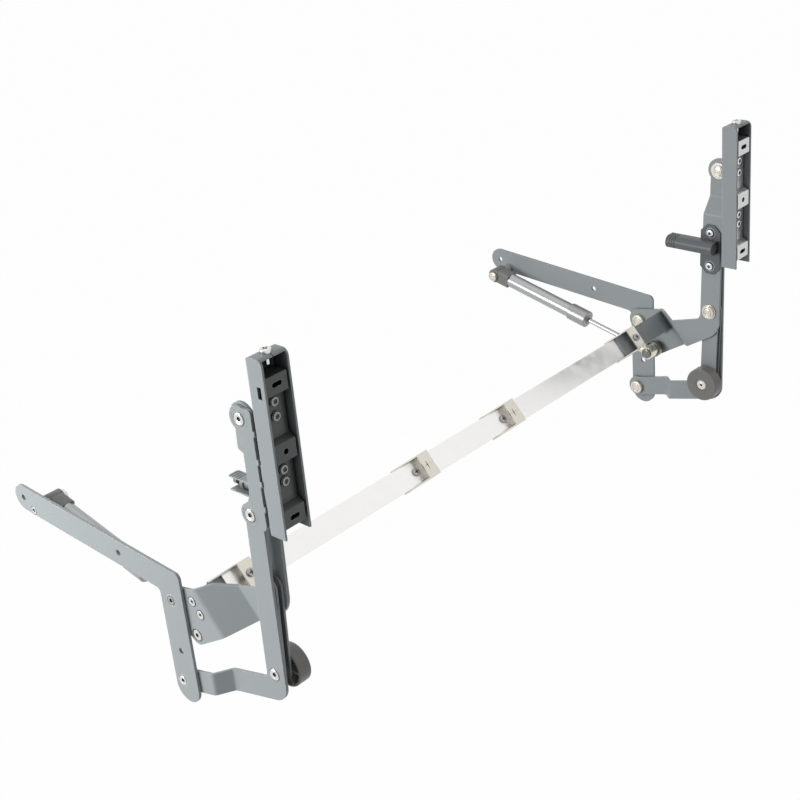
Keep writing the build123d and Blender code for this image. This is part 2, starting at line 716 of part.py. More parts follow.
def door_channel():
    """Folded door channel: back web, two walls and two flaps that close the top."""
    back = channel_back()
    front = back - CHANNEL_DEPTH
    low = EAR_LOW[1] - CHANNEL_BELOW
    high = low + CHANNEL_HEIGHT
    inner = CHANNEL_WIDTH - 2 * LIGHT_SHEET
    outer_box = Box(CHANNEL_WIDTH, CHANNEL_DEPTH, CHANNEL_HEIGHT)
    body = fillet(outer_box.edges().filter_by(Axis.Z).group_by(Axis.Y)[-1], CHANNEL_BEND)
    pocket = Box(inner, CHANNEL_DEPTH, CHANNEL_HEIGHT)
    bend = CHANNEL_BEND - LIGHT_SHEET
    pocket = fillet(pocket.edges().filter_by(Axis.Z).group_by(Axis.Y)[-1], bend)
    body -= Pos(0, -LIGHT_SHEET, -LIGHT_SHEET) * pocket
    body -= Box(FLAP_SPLIT, 2 * CHANNEL_DEPTH, 2 * SMALL_ROUND).moved(
        Location((0, -LIGHT_SHEET - CHANNEL_DEPTH / 2, CHANNEL_HEIGHT / 2))
    )
    middle = (CHANNEL_LAYER + CHANNEL_WIDTH / 2, (back + front) / 2, (low + high) / 2)
    body = Pos(*middle) * body
    side = side_face(
        [
            (back, low, 0),
            (back, high, CHANNEL_CORNER),
            (front, high, CHANNEL_CORNER),
            (front, low, 0),
        ]
    )
    body &= layer(side, 0, CHANNEL_LAYER + CHANNEL_WIDTH + SHEET)
    window = Box(2 * LIGHT_SHEET, SLOT_WIDTH, SLOT_LENGTH)
    body -= Pos(CHANNEL_LAYER, front + CHANNEL_DEPTH / 3, high - WINDOW_DROP) * window
    top = Pos(middle[0], middle[1], high) * Cylinder(SCREW_RADIUS, 4 * LIGHT_SHEET)
    for y, z in bracket_screw_spots():
        body -= Pos(bracket_centre(), back, z) * Rot(90, 0, 0) * Cylinder(SCREW_RADIUS, CHANNEL_DEPTH / 2)
    return body - top


def bracket_centre():
    """Distance from the wall to the middle of the door bracket."""
    return CHANNEL_LAYER + LIGHT_SHEET + BRACKET_SIDE_GAP + BRACKET_WIDTH / 2


def bracket_recess():
    """Front face of the door bracket between its pads."""
    return channel_back() - CHANNEL_DEPTH + BRACKET_SINK + PAD_RISE


def bracket_screw_spots():
    """Screws that hold the door bracket to the back of the channel, as (y, z)."""
    offsets = LOWER_SCREW_OFFSETS + UPPER_SCREW_OFFSETS
    return [(bracket_recess(), door_middle() + offset) for offset in offsets]


def bracket_profile(inset):
    """Side outline of the pressed bracket with three pads, drawn in by one sheet."""
    back = channel_back() - LIGHT_SHEET
    recess = bracket_recess() + inset
    pad = recess - PAD_RISE
    middle = door_middle()
    half = PAD_LENGTH / 2 - inset / 2
    foot = half + PAD_SLOPE
    top = middle + DOOR_HOLE_PITCH
    low = middle - DOOR_HOLE_PITCH
    return side_face(
        [
            (back, low - half, 0),
            (pad, low - half, BRACKET_ROUND),
            (pad, low + half, BRACKET_ROUND),
            (recess, low + foot, BRACKET_ROUND),
            (recess, middle - foot, BRACKET_ROUND),
            (pad, middle - half, BRACKET_ROUND),
            (pad, middle + half, BRACKET_ROUND),
            (recess, middle + foot, BRACKET_ROUND),
            (recess, top - foot, BRACKET_ROUND),
            (pad, top - half, BRACKET_ROUND),
            (pad, top + half, BRACKET_ROUND),
            (back, top + half, 0),
        ]
    )


def door_bracket():
    """Pressed bracket for the door: three pads, two slots across and one round hole."""
    start = bracket_centre() - BRACKET_WIDTH / 2
    body = layer(bracket_profile(0), start, BRACKET_WIDTH)
    inner = BRACKET_WIDTH - 2 * LIGHT_SHEET
    body -= layer(bracket_profile(LIGHT_SHEET), start + LIGHT_SHEET, inner)
    front = bracket_recess() - PAD_RISE
    slot = extrude(SlotOverall(SLOT_LENGTH, SLOT_WIDTH), amount=2 * LIGHT_SHEET, both=True)
    for side in (1, -1):
        z = door_middle() + side * DOOR_HOLE_PITCH
        body -= Pos(bracket_centre(), front, z) * Rot(90, 0, 0) * slot
    body -= front_bore(front, door_middle(), DOOR_HOLE)
    for y, z in bracket_screw_spots():
        body -= front_bore(y, z, SCREW_RADIUS)
    return body


def front_bore(y, z, radius):
    """Hole through a front face of the door bracket."""
    return Pos(bracket_centre(), y, z) * Rot(90, 0, 0) * Cylinder(radius, 4 * LIGHT_SHEET)


def channel_screws():
    """Four screws of the door bracket and the pan head screw in the channel's top."""
    screws = []
    back = channel_back()
    for y, z in bracket_screw_spots():
        length = back - y
        shank = Pos(0, y + length / 2) * cylinder_along_y(SCREW_RADIUS, length)
        head = Pos(0, y - SCREW_HEAD_HEIGHT / 2) * cylinder_along_y(SCREW_HEAD, SCREW_HEAD_HEIGHT)
        socket = Pos(0, y - SCREW_HEAD_HEIGHT) * cylinder_along_y(SOCKET_RADIUS, 2 * SOCKET_DEPTH)
        screws.append(Pos(bracket_centre(), 0, z) * (shank + head - socket))
    high = EAR_LOW[1] - CHANNEL_BELOW + CHANNEL_HEIGHT
    head = Cylinder(TOP_SCREW_HEAD, TOP_SCREW_HEIGHT, align=(Align.CENTER, Align.CENTER, Align.MIN))
    head = fillet(head.edges().filter_by(GeomType.CIRCLE).sort_by(Axis.Z)[-1], SCREW_HEAD_HEIGHT / 2)
    head += Pos(0, 0, -CHANNEL_DEPTH / 4) * Cylinder(SCREW_RADIUS, CHANNEL_DEPTH / 2)
    for turn in (0, 90):
        cross = Box(SCREW_HEAD, SLOT_CUT, 2 * SOCKET_DEPTH)
        head -= Pos(0, 0, TOP_SCREW_HEIGHT) * Rot(0, 0, turn) * cross
    middle = channel_back() - CHANNEL_DEPTH / 2
    screws.append(Pos(CHANNEL_LAYER + CHANNEL_WIDTH / 2, middle, high) * head)
    return Compound(children=screws)


def cylinder_along_y(radius, length):
    """Cylinder along Y, centred on the origin."""
    return Rot(90, 0, 0) * Cylinder(radius, length)


def along_spring(shape):
    """Piece drawn from the rear stud along +Y, put on the line to the front stud."""
    return Pos(SPRING_LAYER, *REAR_STUD) * Rot(SPRING_TURN, 0, 0) * shape


def turned(*steps):
    """Round piece along +Y made of coaxial steps, each (start, end, radius)."""
    piece = None
    for start, end, radius in steps:
        step = Pos(0, (start + end) / 2, 0) * cylinder_along_y(radius, end - start)
        piece = step if piece is None else piece + step
    return piece


def spring_tube():
    """Pressure tube: closed rear end with its threaded neck, open front end."""
    tube = turned((TUBE_START, TUBE_END, TUBE_RADIUS), (NECK_START, TUBE_START, NECK_RADIUS))
    tube -= turned((TUBE_START + SHEET, TUBE_END, TUBE_RADIUS - TUBE_WALL))
    return along_spring(tube)


def end_sleeve():
    """Sleeve over the front end of the tube, with a hole for the rod."""
    start = TUBE_END + SLEEVE_CAP - SLEEVE_LENGTH
    end = TUBE_END + SLEEVE_CAP
    sleeve = turned((start, end, SLEEVE_RADIUS))
    sleeve = fillet(sleeve.edges().filter_by(GeomType.CIRCLE), SLEEVE_EDGE)
    sleeve -= turned((start, TUBE_END, TUBE_RADIUS))
    return along_spring(sleeve - turned((start, end, ROD_RADIUS + RUNNING)))


def seal_guide():
    """Guide and seal for the rod, inside the front end of the tube."""
    start = TUBE_END - SEAL_LENGTH
    guide = turned((start, TUBE_END, TUBE_RADIUS - TUBE_WALL))
    return along_spring(guide - turned((start, TUBE_END, ROD_RADIUS + RUNNING)))


def spring_rod():
    """Polished rod from the piston to the front connector."""
    start = TUBE_END - SEAL_LENGTH - PISTON_SETBACK - PISTON_LENGTH
    return along_spring(turned((start, SPRING_REACH - EYE_RADIUS - ROD_SEAT, ROD_RADIUS)))


def piston():
    """Piston on the end of the rod, inside the tube."""
    end = TUBE_END - SEAL_LENGTH - PISTON_SETBACK
    radius = TUBE_RADIUS - TUBE_WALL - PISTON_GAP
    ring = turned((end - PISTON_LENGTH, end, radius))
    return along_spring(ring - turned((end - PISTON_LENGTH, end, ROD_RADIUS)))


def rear_fitting():
    """Moulded connector that turns on the rear stud and holds the tube's neck."""
    length = REAR_BLOCK - REAR_EYE_RADIUS / 2
    block = Pos(0, REAR_BLOCK - length / 2, 0) * Box(REAR_EYE_WIDTH, length, 2 * REAR_EYE_RADIUS)
    block = fillet(block.edges().filter_by(Axis.Y), SMALL_ROUND)
    block += Rot(0, 90, 0) * Cylinder(REAR_EYE_RADIUS, REAR_EYE_WIDTH)
    block -= Rot(0, 90, 0) * Cylinder(STUD_RADIUS, 2 * REAR_EYE_WIDTH)
    return along_spring(block - turned((NECK_START, REAR_BLOCK, NECK_RADIUS)))


def front_fitting():
    """Round connector at the end of the rod."""
    start = SPRING_REACH - EYE_NECK
    neck = turned((start, SPRING_REACH, NECK_RADIUS + LIGHT_SHEET))
    eye = Rot(0, 90, 0) * Cylinder(EYE_RADIUS, EYE_WIDTH)
    fitting = neck + Pos(0, SPRING_REACH, 0) * eye
    fitting -= Pos(0, SPRING_REACH, 0) * Rot(0, 90, 0) * Cylinder(STUD_RADIUS + RUNNING, 2 * EYE_WIDTH)
    return along_spring(fitting - turned((start, SPRING_REACH - EYE_RADIUS - ROD_SEAT, ROD_RADIUS)))


def front_stud():
    """Stud of the spring's front end, riveted in the arm: a wide flange and an end cap."""
    head = PIVOT_LAYER - RIVET_HEAD_HEIGHT
    eye = SPRING_LAYER - EYE_WIDTH / 2 - AXIAL_GAP
    cap = SPRING_LAYER + EYE_WIDTH / 2 + AXIAL_GAP
    stud = stepped_pin(
        FRONT_STUD,
        (head, PIVOT_LAYER, PIN_HEAD),
        (head, cap, STUD_RADIUS),
        (PIVOT_FACE, eye, STUD_COLLAR),
        (eye - STUD_FLANGE_HEIGHT, eye, STUD_FLANGE),
        (cap, cap + SCREW_HEAD_HEIGHT, STUD_COLLAR),
    )
    return stud - rod_between(FRONT_STUD, head, head + SOCKET_DEPTH, HOLLOW_RADIUS)


def along_bar(shape):
    """Piece drawn along X with Y up its width and Z forward, put on the crossbar's line."""
    return Pos(0, -BAR_REACH, BAR_RISE) * Rot(90 - UPPER_JOGGLE_TILT, 0, 0) * shape


def bar_strip(start, end, depth):
    """Flat strip of the crossbar from one X to another, with depth as its rear face."""
    strip = Box(end - start, BAR_WIDTH, BAR_SHEET)
    return Pos((start + end) / 2, 0, depth + BAR_SHEET / 2) * strip


def clamp_bores():
    """Holes of the clamp screws through the crossbar."""
    bores = [Pos(x, 0, 0) * Cylinder(SCREW_RADIUS, 6 * BAR_SHEET) for x in clamp_screw_spots()]
    return Compound(children=bores)


def clamp_screw_spots():
    """X of each clamp screw: in the web at the outer clamps, beside it at the inner ones."""
    spots = []
    for x in CLAMP_SPOTS:
        inner = abs(x) < BAR_OVERLAP
        spots.append(x - CLAMP_TAIL_SCREW if inner else x)
    return spots


def bar_bracket(side, depth):
    """Angled end of the crossbar: a foot on the arm and a stub under the strip."""
    wall = INSIDE_WIDTH / 2 - PIVOT_FACE
    stub = bar_strip(wall - STUB_LENGTH, wall, depth)
    front = depth + BAR_SHEET
    foot = Box(BAR_SHEET, BAR_WIDTH, FOOT_DEPTH + front)
    foot = Pos(wall - BAR_SHEET / 2, 0, (front - FOOT_DEPTH) / 2) * foot
    bracket = stub + foot
    bend = bracket.edges().filter_by(Axis.Y)
    bracket = fillet(bend.group_by(Axis.Z)[-1].sort_by(Axis.X)[-1], BAR_BEND)
    if side < 0:
        bracket = mirror(bracket, about=Plane.YZ)
    bracket = along_bar(bracket - clamp_bores())
    for spot in foot_rivet_spots():
        bore = rod_between(spot, PIVOT_FACE, PIVOT_FACE + BAR_SHEET, SCREW_RADIUS)
        bracket -= on_left(bore) if side < 0 else on_right(bore)
    return bracket


def crossbar(start, end, depth):
    """One strip of the two-part crossbar."""
    return along_bar(bar_strip(start, end, depth) - clamp_bores())


def bar_clamp(x):
    """Saddle clamp: web raised in front of the bar, legs that taper to the left, lips behind."""
    half = BAR_WIDTH / 2 + CLAMP_SLACK
    back = -BAR_SHEET - CLAMP_SLACK
    front = BAR_SHEET + CLAMP_RISE
    middle = (front + back) / 2
    body = Box(CLAMP_WEB, 2 * (half + CLAMP_SHEET), front - back + 2 * CLAMP_SHEET)
    body -= Box(CLAMP_WEB, 2 * half, front - back)
    body = Pos(0, 0, middle) * body
    body -= Pos(0, 0, back - CLAMP_SHEET) * Box(CLAMP_WEB, 2 * (half - CLAMP_LIP), 2 * CLAMP_SHEET)
    edge = -CLAMP_WEB / 2
    leg = Polyline(
        (edge, front + CLAMP_SHEET), (edge - CLAMP_LEG, back / 2),
        (edge - CLAMP_LEG, back - CLAMP_SHEET), (edge, back - CLAMP_SHEET), close=True
    )
    leg = extrude(Plane.XZ * make_face(leg), amount=CLAMP_SHEET)
    body += Pos(0, -half, 0) * leg
    body += Pos(0, half + CLAMP_SHEET, 0) * leg
    if abs(x) < BAR_OVERLAP:
        body -= Pos(0, 0, front + CLAMP_SHEET) * Box(CLAMP_WEB, GROOVE_WIDTH, GROOVE_DEPTH)
    else:
        body -= Pos(0, 0, front) * Cylinder(SCREW_RADIUS, 4 * CLAMP_SHEET)
    return along_bar(Pos(x, 0, 0) * body)


def clamp_screws():
    """Screws that hold the layers of the crossbar in the clamps."""
    screws = []
    for spot, x in zip(CLAMP_SPOTS, clamp_screw_spots()):
        rise = CLAMP_RISE + CLAMP_SHEET if spot == x else 0
        top = BAR_SHEET + rise
        length = CLAMP_SCREW + rise
        head = Pos(0, 0, top + SCREW_HEAD_HEIGHT / 2) * Cylinder(SCREW_HEAD, SCREW_HEAD_HEIGHT)
        shank = Pos(0, 0, top - length / 2) * Cylinder(SCREW_RADIUS, length)
        socket = RegularPolygon(SOCKET_RADIUS, 6)
        socket = Pos(0, 0, top + SCREW_HEAD_HEIGHT - SOCKET_DEPTH) * extrude(socket, amount=SCREW_HEAD)
        screws.append(along_bar(Pos(x, 0, 0) * (head + shank - socket)))
    return Compound(children=screws)


def damper_section(inset):
    """Cross-section of the damper's trough, open to the wall, as a face across Y."""
    radius = DAMPER_ROUND - inset
    base = FRONT_FACE + HOLDER_SHEET
    centre = FRONT_FACE + DAMPER_OFFSET
    wall = Pos((base + centre) / 2, 0) * Rectangle(centre - base, 2 * radius)
    return wall + Pos(centre, 0) * Circle(radius)


def damper_run(section, start, end):
    """Section of the damper drawn out along Y between two distances back."""
    shape = extrude(Plane.XZ * section, amount=end - start)
    return Pos(0, end - DAMPER_REACH, DAMPER_RISE) * shape


def damper_holder():
    """Folded holder: eight-sided plate on the arm and the trough round the damper."""
    trough = damper_run(damper_section(0), 0, DAMPER_LENGTH)
    trough -= damper_run(damper_section(HOLDER_SHEET), 0, DAMPER_LENGTH)
    for index in range(GROOVES):
        end = DAMPER_LENGTH - GROOVE_PITCH * (index + 1) + GROOVE_WIDTH
        ring = damper_run(damper_section(-SHEET), end - GROOVE_WIDTH, end)
        trough -= ring - damper_run(damper_section(GROOVE_DEPTH), end - GROOVE_WIDTH, end)
    up = holder_direction()
    lean = math.degrees(math.atan2(-up[0], up[1]))
    plate = Box(HOLDER_SHEET, HOLDER_WIDTH, HOLDER_LENGTH)
    plate = chamfer(plate.edges().filter_by(Axis.X), HOLDER_CHAMFER)
    middle = holder_middle()
    plate = Pos(FRONT_FACE + HOLDER_SHEET / 2, *middle) * Rot(lean, 0, 0) * plate
    holder = plate + trough
    for spot in holder_screw_spots():
        holder -= rod_between(spot, FRONT_FACE, FRONT_FACE + HOLDER_SHEET, SCREW_RADIUS)
    return holder


def damper_axis_run(*steps):
    """Round piece on the damper's axis made of steps, each (start, end, radius)."""
    return Pos(FRONT_FACE + DAMPER_OFFSET, -DAMPER_REACH, DAMPER_RISE) * turned(*steps)


def damper_cylinder():
    """Damper cylinder with a collar at each end that seats in the trough."""
    end = DAMPER_LENGTH - PLUNGER_REACH
    collar = DAMPER_ROUND - HOLDER_SHEET
    cylinder = damper_axis_run(
        (0, COLLAR_LENGTH, collar),
        (0, end, CYLINDER_RADIUS),
        (end - COLLAR_LENGTH, end, collar),
    )
    bore = end - PLUNGER_DEPTH - PLUNGER_TRAVEL
    return cylinder - damper_axis_run((bore, end, PLUNGER_RADIUS + RUNNING))


def damper_plunger():
    """Plunger of the damper, with the button that the door pushes."""
    end = DAMPER_LENGTH - PLUNGER_REACH
    button = end + PLUNGER_TRAVEL + JOINT_GAP
    return damper_axis_run(
        (end - PLUNGER_DEPTH + JOINT_GAP, button, PLUNGER_RADIUS),
        (button, button + COLLAR_LENGTH, 2 * PLUNGER_RADIUS),
    )


def sided_nodes():
    """Pieces that each side has as a node of its own, drawn from the wall."""
    return {
        "base_plate": base_plate(),
        "upper_arm": upper_arm(),
        "lower_arm": lower_arm(),
        "tie_link": tie_link(),
        "roller_axle": roller_axle(),
        "roller": roller(),
        "ear_plate": ear_plate(),
        "ear_pin": ear_pin(),
        "door_channel": door_channel(),
        "door_bracket": door_bracket(),
        "channel_screws": channel_screws(),
        "spring_tube": spring_tube(),
        "end_sleeve": end_sleeve(),
        "rear_fitting": rear_fitting(),
        "seal_guide": seal_guide(),
        "spring_rod": spring_rod(),
        "piston": piston(),
        "front_fitting": front_fitting(),
        "rear_stud": rear_stud(),
        "damper_holder": damper_holder(),
        "damper_cylinder": damper_cylinder(),
        "damper_plunger": damper_plunger(),
    }


def shared_nodes():
    """Fasteners whose left and right copies share a node, drawn from the wall."""
    return {
        "upper_pivot_pins": wall_pin(HUB),
        "lower_pivot_pins": wall_pin(LOWER_HUB),
        "rear_rivets": rear_rivet(),
        "front_studs": front_stud(),
        "tie_pins": tie_pin(),
        "top_pins": top_pin(),
        "arm_screws": arm_screws(),
    }


def crossbar_nodes():
    """Pieces of the crossbar in their place."""
    nodes = {
        "bar_bracket_left": bar_bracket(-1, -BAR_SHEET),
        "bar_bracket_right": bar_bracket(1, 0),
        "bar_left": crossbar(-BAR_END, BAR_OVERLAP, 0),
        "bar_right": crossbar(-BAR_OVERLAP, BAR_END, -BAR_SHEET),
        "clamp_screws": clamp_screws(),
    }
    for index, x in enumerate(CLAMP_SPOTS, start=1):
        nodes[f"bar_clamp_{index}"] = bar_clamp(x)
    return nodes


def main():
    """Write one file for each node."""
    os.makedirs("parts", exist_ok=True)
    nodes = crossbar_nodes()
    for name, shape in sided_nodes().items():
        nodes[f"{name}_left"] = on_left(shape)
        nodes[f"{name}_right"] = on_right(shape)
    for name, shape in shared_nodes().items():
        nodes[name] = joined(shape)
    for name, shape in nodes.items():
        export_step(shape, f"parts/{name}.step")


main()
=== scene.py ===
"""Looks of a gas spring lift-up fitting for a cabinet door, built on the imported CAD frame.

The script dresses every CAD node with a procedural finish, adds the small fittings that are
too fine for the CAD model, and sets the studio and the camera at the photograph's view.
"""

from __future__ import annotations

import logging
import math
from dataclasses import dataclass, replace
from enum import Enum
from typing import Any, Callable, ClassVar

import bmesh
import bpy
from mathutils import Matrix, Vector


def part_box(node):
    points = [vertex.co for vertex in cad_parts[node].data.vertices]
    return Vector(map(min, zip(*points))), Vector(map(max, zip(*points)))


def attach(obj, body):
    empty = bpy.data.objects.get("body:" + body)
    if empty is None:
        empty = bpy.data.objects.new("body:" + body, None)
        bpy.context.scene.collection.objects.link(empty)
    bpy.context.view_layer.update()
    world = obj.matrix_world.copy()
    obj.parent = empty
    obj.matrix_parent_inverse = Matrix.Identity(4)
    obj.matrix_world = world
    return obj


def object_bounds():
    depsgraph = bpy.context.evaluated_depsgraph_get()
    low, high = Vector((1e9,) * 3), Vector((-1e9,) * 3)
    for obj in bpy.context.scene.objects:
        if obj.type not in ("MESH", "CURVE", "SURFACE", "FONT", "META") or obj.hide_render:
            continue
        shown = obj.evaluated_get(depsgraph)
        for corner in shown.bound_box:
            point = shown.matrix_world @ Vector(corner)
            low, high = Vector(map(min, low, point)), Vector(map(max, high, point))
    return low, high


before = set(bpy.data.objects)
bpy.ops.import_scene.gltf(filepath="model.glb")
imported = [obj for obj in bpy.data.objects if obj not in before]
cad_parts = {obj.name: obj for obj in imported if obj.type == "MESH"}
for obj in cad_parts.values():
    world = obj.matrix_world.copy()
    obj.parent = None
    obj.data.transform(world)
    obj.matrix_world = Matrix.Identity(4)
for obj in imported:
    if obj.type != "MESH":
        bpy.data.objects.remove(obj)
CAD_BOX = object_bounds()

LOG = logging.getLogger("lift_fitting")
Triple = tuple[float, float, float]
Colour = tuple[float, ...]
Radius = float | Callable[[float], float]
Profile = list[tuple[Radius, float]]
Waves = tuple[float, float]

# Screw drives: half width of a cross's arms, depth and number of a star's lobes, by its size
CROSS_ARM = 0.26
STAR_LOBE = 0.14
STAR_LOBES = 6
ROUND_STEPS = 48
BEAD_STEPS = 10
BEAD_STOPS = 12
SHARP_ANGLE = math.radians(35)


def scaled(colour: Triple, gain: float, lift: float = 0.0) -> Colour:
    """A colour times a gain plus a lift, each part at most 1, with an opaque alpha."""
    return (*(min(1.0, part * gain + lift) for part in colour), 1.0)


def added(name: str, data: Any) -> bpy.types.Object:
    """A new object with this data, linked to the scene."""
    made = bpy.data.objects.new(name, data)
    bpy.context.scene.collection.objects.link(made)
    return made


class Side(Enum):
    """The two mirrored mechanisms, with the sign of X that each stands at."""

    LEFT = -1
    RIGHT = 1

    @property
    def word(self) -> str:
        """Ending of this side's node names."""
        return self.name.lower()


class Grain(Enum):
    """Direction in which a metal was brushed or drawn, as a stretch of the object axes."""

    NONE = (1.0, 1.0, 1.0)
    ALONG_X = (0.03, 1.0, 1.0)
    ALONG_Y = (1.0, 0.04, 1.0)


@dataclass(frozen=True)
class Shade:
    """A shader socket that can be used in arithmetic."""

    graph: "Graph"
    socket: bpy.types.NodeSocket

    def _math(self, operation: str, first: Any, second: Any, clamp: bool = False) -> "Shade":
        """The result of a Math node on two Shades or numbers, held to 0 to 1 on request."""
        settings = {"operation": operation, "use_clamp": clamp}
        return self.graph.node("ShaderNodeMath", settings, {0: first, 1: second}).out(0)

    def __add__(self, other: Any) -> "Shade":
        """This plus another value."""
        return self._math("ADD", self, other)

    def __sub__(self, other: Any) -> "Shade":
        """This minus another value."""
        return self._math("SUBTRACT", self, other)

    def __rsub__(self, other: Any) -> "Shade":
        """Another value minus this."""
        return self._math("SUBTRACT", other, self)

    def __mul__(self, other: Any) -> "Shade":
        """This times another value."""
        return self._math("MULTIPLY", self, other)

    __radd__ = __add__
    __rmul__ = __mul__

    def clamped(self) -> "Shade":
        """This, held between 0 and 1."""
        return self._math("ADD", self, 0.0, clamp=True)

    def between(self, low: float, high: float) -> "Shade":
        """Rises smoothly from 0 at low to 1 at high.

        Args:
            low: Value that gives 0.
            high: Value that gives 1.

        Returns:
            The result as a Shade.
        """
        settings = {"interpolation_type": "SMOOTHSTEP", "clamp": True}
        values = {"Value": self, "From Min": low, "From Max": high}
        return self.graph.node("ShaderNodeMapRange", settings, values).out(0)


@dataclass(frozen=True)
class Made:
    """A node that has been added to a graph."""

    graph: "Graph"
    node: bpy.types.Node

    def out(self, key: int | str) -> Shade:
        """One output of the node as a Shade."""
        return Shade(self.graph, self.node.outputs[key])


class Graph:
    """Node tree of one material or world, with a single method that adds nodes."""

    def __init__(self, tree: bpy.types.NodeTree) -> None:
        """Empties the tree.

        Args:
            tree: The node tree to fill.
        """
        self.tree = tree
        tree.nodes.clear()

    def node(self, kind: str, settings: dict[str, Any], values: dict[int | str, Any]) -> Made:
        """Adds one node.

        Args:
            kind: Type of the node.
            settings: Settings of the node.
            values: Number, colour or Shade for each input.

        Returns:
            The node.
        """
        node = self.tree.nodes.new(kind)
        for name, value in settings.items():
            setattr(node, name, value)
        for key, value in values.items():
            if isinstance(value, Shade):
                self.tree.links.new(value.socket, node.inputs[key])
            else:
                node.inputs[key].default_value = value
        return Made(self, node)

    def place(self, grain: Grain = Grain.NONE) -> Shade:
        """Object coordinates, stretched along the grain.

        Args:
            grain: Direction of the grain.

        Returns:
            The coordinates.
        """
        here = self.node("ShaderNodeTexCoord", {}, {}).out("Object")
        if grain is Grain.NONE:
            return here
        return self.node("ShaderNodeMapping", {}, {"Vector": here, "Scale": grain.value}).out(0)

    def noise(self, scale: float, detail: float = 3.0, grain: Grain = Grain.NONE) -> Shade:
        """Noise from 0 to 1, with its waves to the metre and its octaves."""
        values = {"Vector": self.place(grain), "Scale": scale, "Detail": detail, "Roughness": 0.55}
        return self.node("ShaderNodeTexNoise", {}, values).out(0)

    def blend(self, factor: Any, first: Any, second: Any) -> Shade:
        """The first colour where the factor is 0, the second where it is 1."""
        values = {0: factor, 6: first, 7: second}
        return self.node("ShaderNodeMix", {"data_type": "RGBA"}, values).out(2)

    def tinted(self, colour: Triple, amount: float, mask: Shade) -> Shade:
        """A colour that a mask from 0 to 1 makes darker and lighter by a share of itself."""
        return self.blend(mask, scaled(colour, 1 - amount), scaled(colour, 1 + amount))

    def bump(self, height: Shade, distance: float, rounded: Shade) -> Shade:
        """The normal of rounded edges, bent by a height from 0 to 1 of a depth in metres."""
        values = {"Strength": 1.0, "Distance": distance, "Height": height, "Normal": rounded}
        return self.node("ShaderNodeBump", {}, values).out(0)

    def rounded(self, radius: float) -> Shade:
        """Normal that rounds the sharp edges, with a radius in metres."""
        return self.node("ShaderNodeBevel", {"samples": 4}, {"Radius": radius}).out(0)

    def edge(self, rounded: Shade) -> Shade:
        """Mask that is 1 along sharp edges and 0 on flat faces.

        Args:
            rounded: Normal of the rounded edges.

        Returns:
            The mask.
        """
        flat = self.node("ShaderNodeNewGeometry", {}, {}).out("True Normal")
        settings = {"operation": "DOT_PRODUCT"}
        turn = self.node("ShaderNodeVectorMath", settings, {0: rounded, 1: flat}).out(1)
        return (1.0 - turn).between(0.005, 0.12)

    def crevice(self, reach: float) -> Shade:
        """Mask of painted shade that is 1 deep in corners and between parts, and 0 in the open.

        Args:
            reach: Distance of the walls that count, in metres.

        Returns:
            The mask.
        """
        settings = {"samples": 6, "only_local": False}
        values = {"Distance": reach}
        open_share = self.node("ShaderNodeAmbientOcclusion", settings, values).out("AO")
        return 1.0 - open_share.between(0.15, 0.85)


@dataclass(frozen=True)
class Finish:
    """A surface finish that several pieces share.

    The gloss is the strength of the mirrored light on what isn't metal. Kinds of finish give
    their noises as waves to the metre and octaves, and their lengths in metres.
    """

    name: str
    colour: Triple
    roughness: float
    metallic: float = 0.0
    variation: float = 0.04
    gloss: float = 0.5

    def material(self) -> bpy.types.Material:
        """The finish as a material, made once.

        Returns:
            The material.
        """
        name = f"finish_{self.name}"
        made = bpy.data.materials.get(name)
        if made is not None:
            return made
        made = bpy.data.materials.new(name)
        made.use_nodes = True
        graph = Graph(made.node_tree)
        values = self.sockets(graph) | {"Specular IOR Level": self.gloss}
        shader = graph.node("ShaderNodeBsdfPrincipled", {}, values)
        graph.node("ShaderNodeOutputMaterial", {}, {"Surface": shader.out(0)})
        return made

    def sockets(self, graph: Graph) -> dict[int | str, Any]:
        """Values by the name of the shader's socket; each kind of finish gives its own."""
        raise NotImplementedError

    def dress(self, *names: str) -> None:
        """Puts the finish on CAD nodes.

        Args:
            names: Names of the nodes.
        """
        for name in names:
            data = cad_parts[name].data
            data.materials.clear()
            data.materials.append(self.material())
            for face in data.polygons:
                face.material_index = 0


@dataclass(frozen=True)
class PowderCoat(Finish):
    """Satin powder coat: fine orange peel, faint clouds, and a thinner coat and painted highlight
    on the edges.
    """

    peel: float = 0.000035
    # Share of the paler edges: worn coat and a painted highlight.
    wear: float = 0.8
    # Strength of the painted shade in corners.
    dust: float = 0.6
    reach: float = 0.012
    edge: float = 0.0006
    cloud_waves: Waves = (14.0, 5.0)
    speck_waves: Waves = (1900.0, 2.0)
    peel_waves: Waves = (620.0, 2.5)
    rub_waves: Waves = (160.0, 4.0)

    def sockets(self, graph: Graph) -> dict[int | str, Any]:
        """Values of the shader's sockets.

        Args:
            graph: Graph of the material.

        Returns:
            Values by the name of the socket.
        """
        cloud = graph.noise(*self.cloud_waves)
        speck = graph.noise(*self.speck_waves)
        peel = graph.noise(*self.peel_waves)
        rounded = graph.rounded(self.edge)
        spots = 0.35 + graph.noise(*self.rub_waves).between(0.40, 0.62)
        # Edges drawn paler: worn coat in patches and a painted highlight.
        worn_lit_edge = graph.edge(rounded) * spots * self.wear
        coat = graph.tinted(self.colour, self.variation, cloud * 0.7 + speck * 0.3)
        pale = scaled(self.colour, 1.9, 0.06)
        dark = scaled(self.colour, 0.14)
        # Corners and gaps between parts drawn darker: painted shade.
        coat_with_shade = graph.blend(graph.crevice(self.reach) * self.dust, coat, dark)
        return {
            "Base Color": graph.blend(worn_lit_edge, coat_with_shade, pale),
            "Roughness": (self.roughness + (peel - 0.5) * 0.10 - worn_lit_edge * 0.12).clamped(),
            "Metallic": self.metallic,
            "Normal": graph.bump(peel * 0.7 + speck * 0.3, self.peel, rounded),
        }


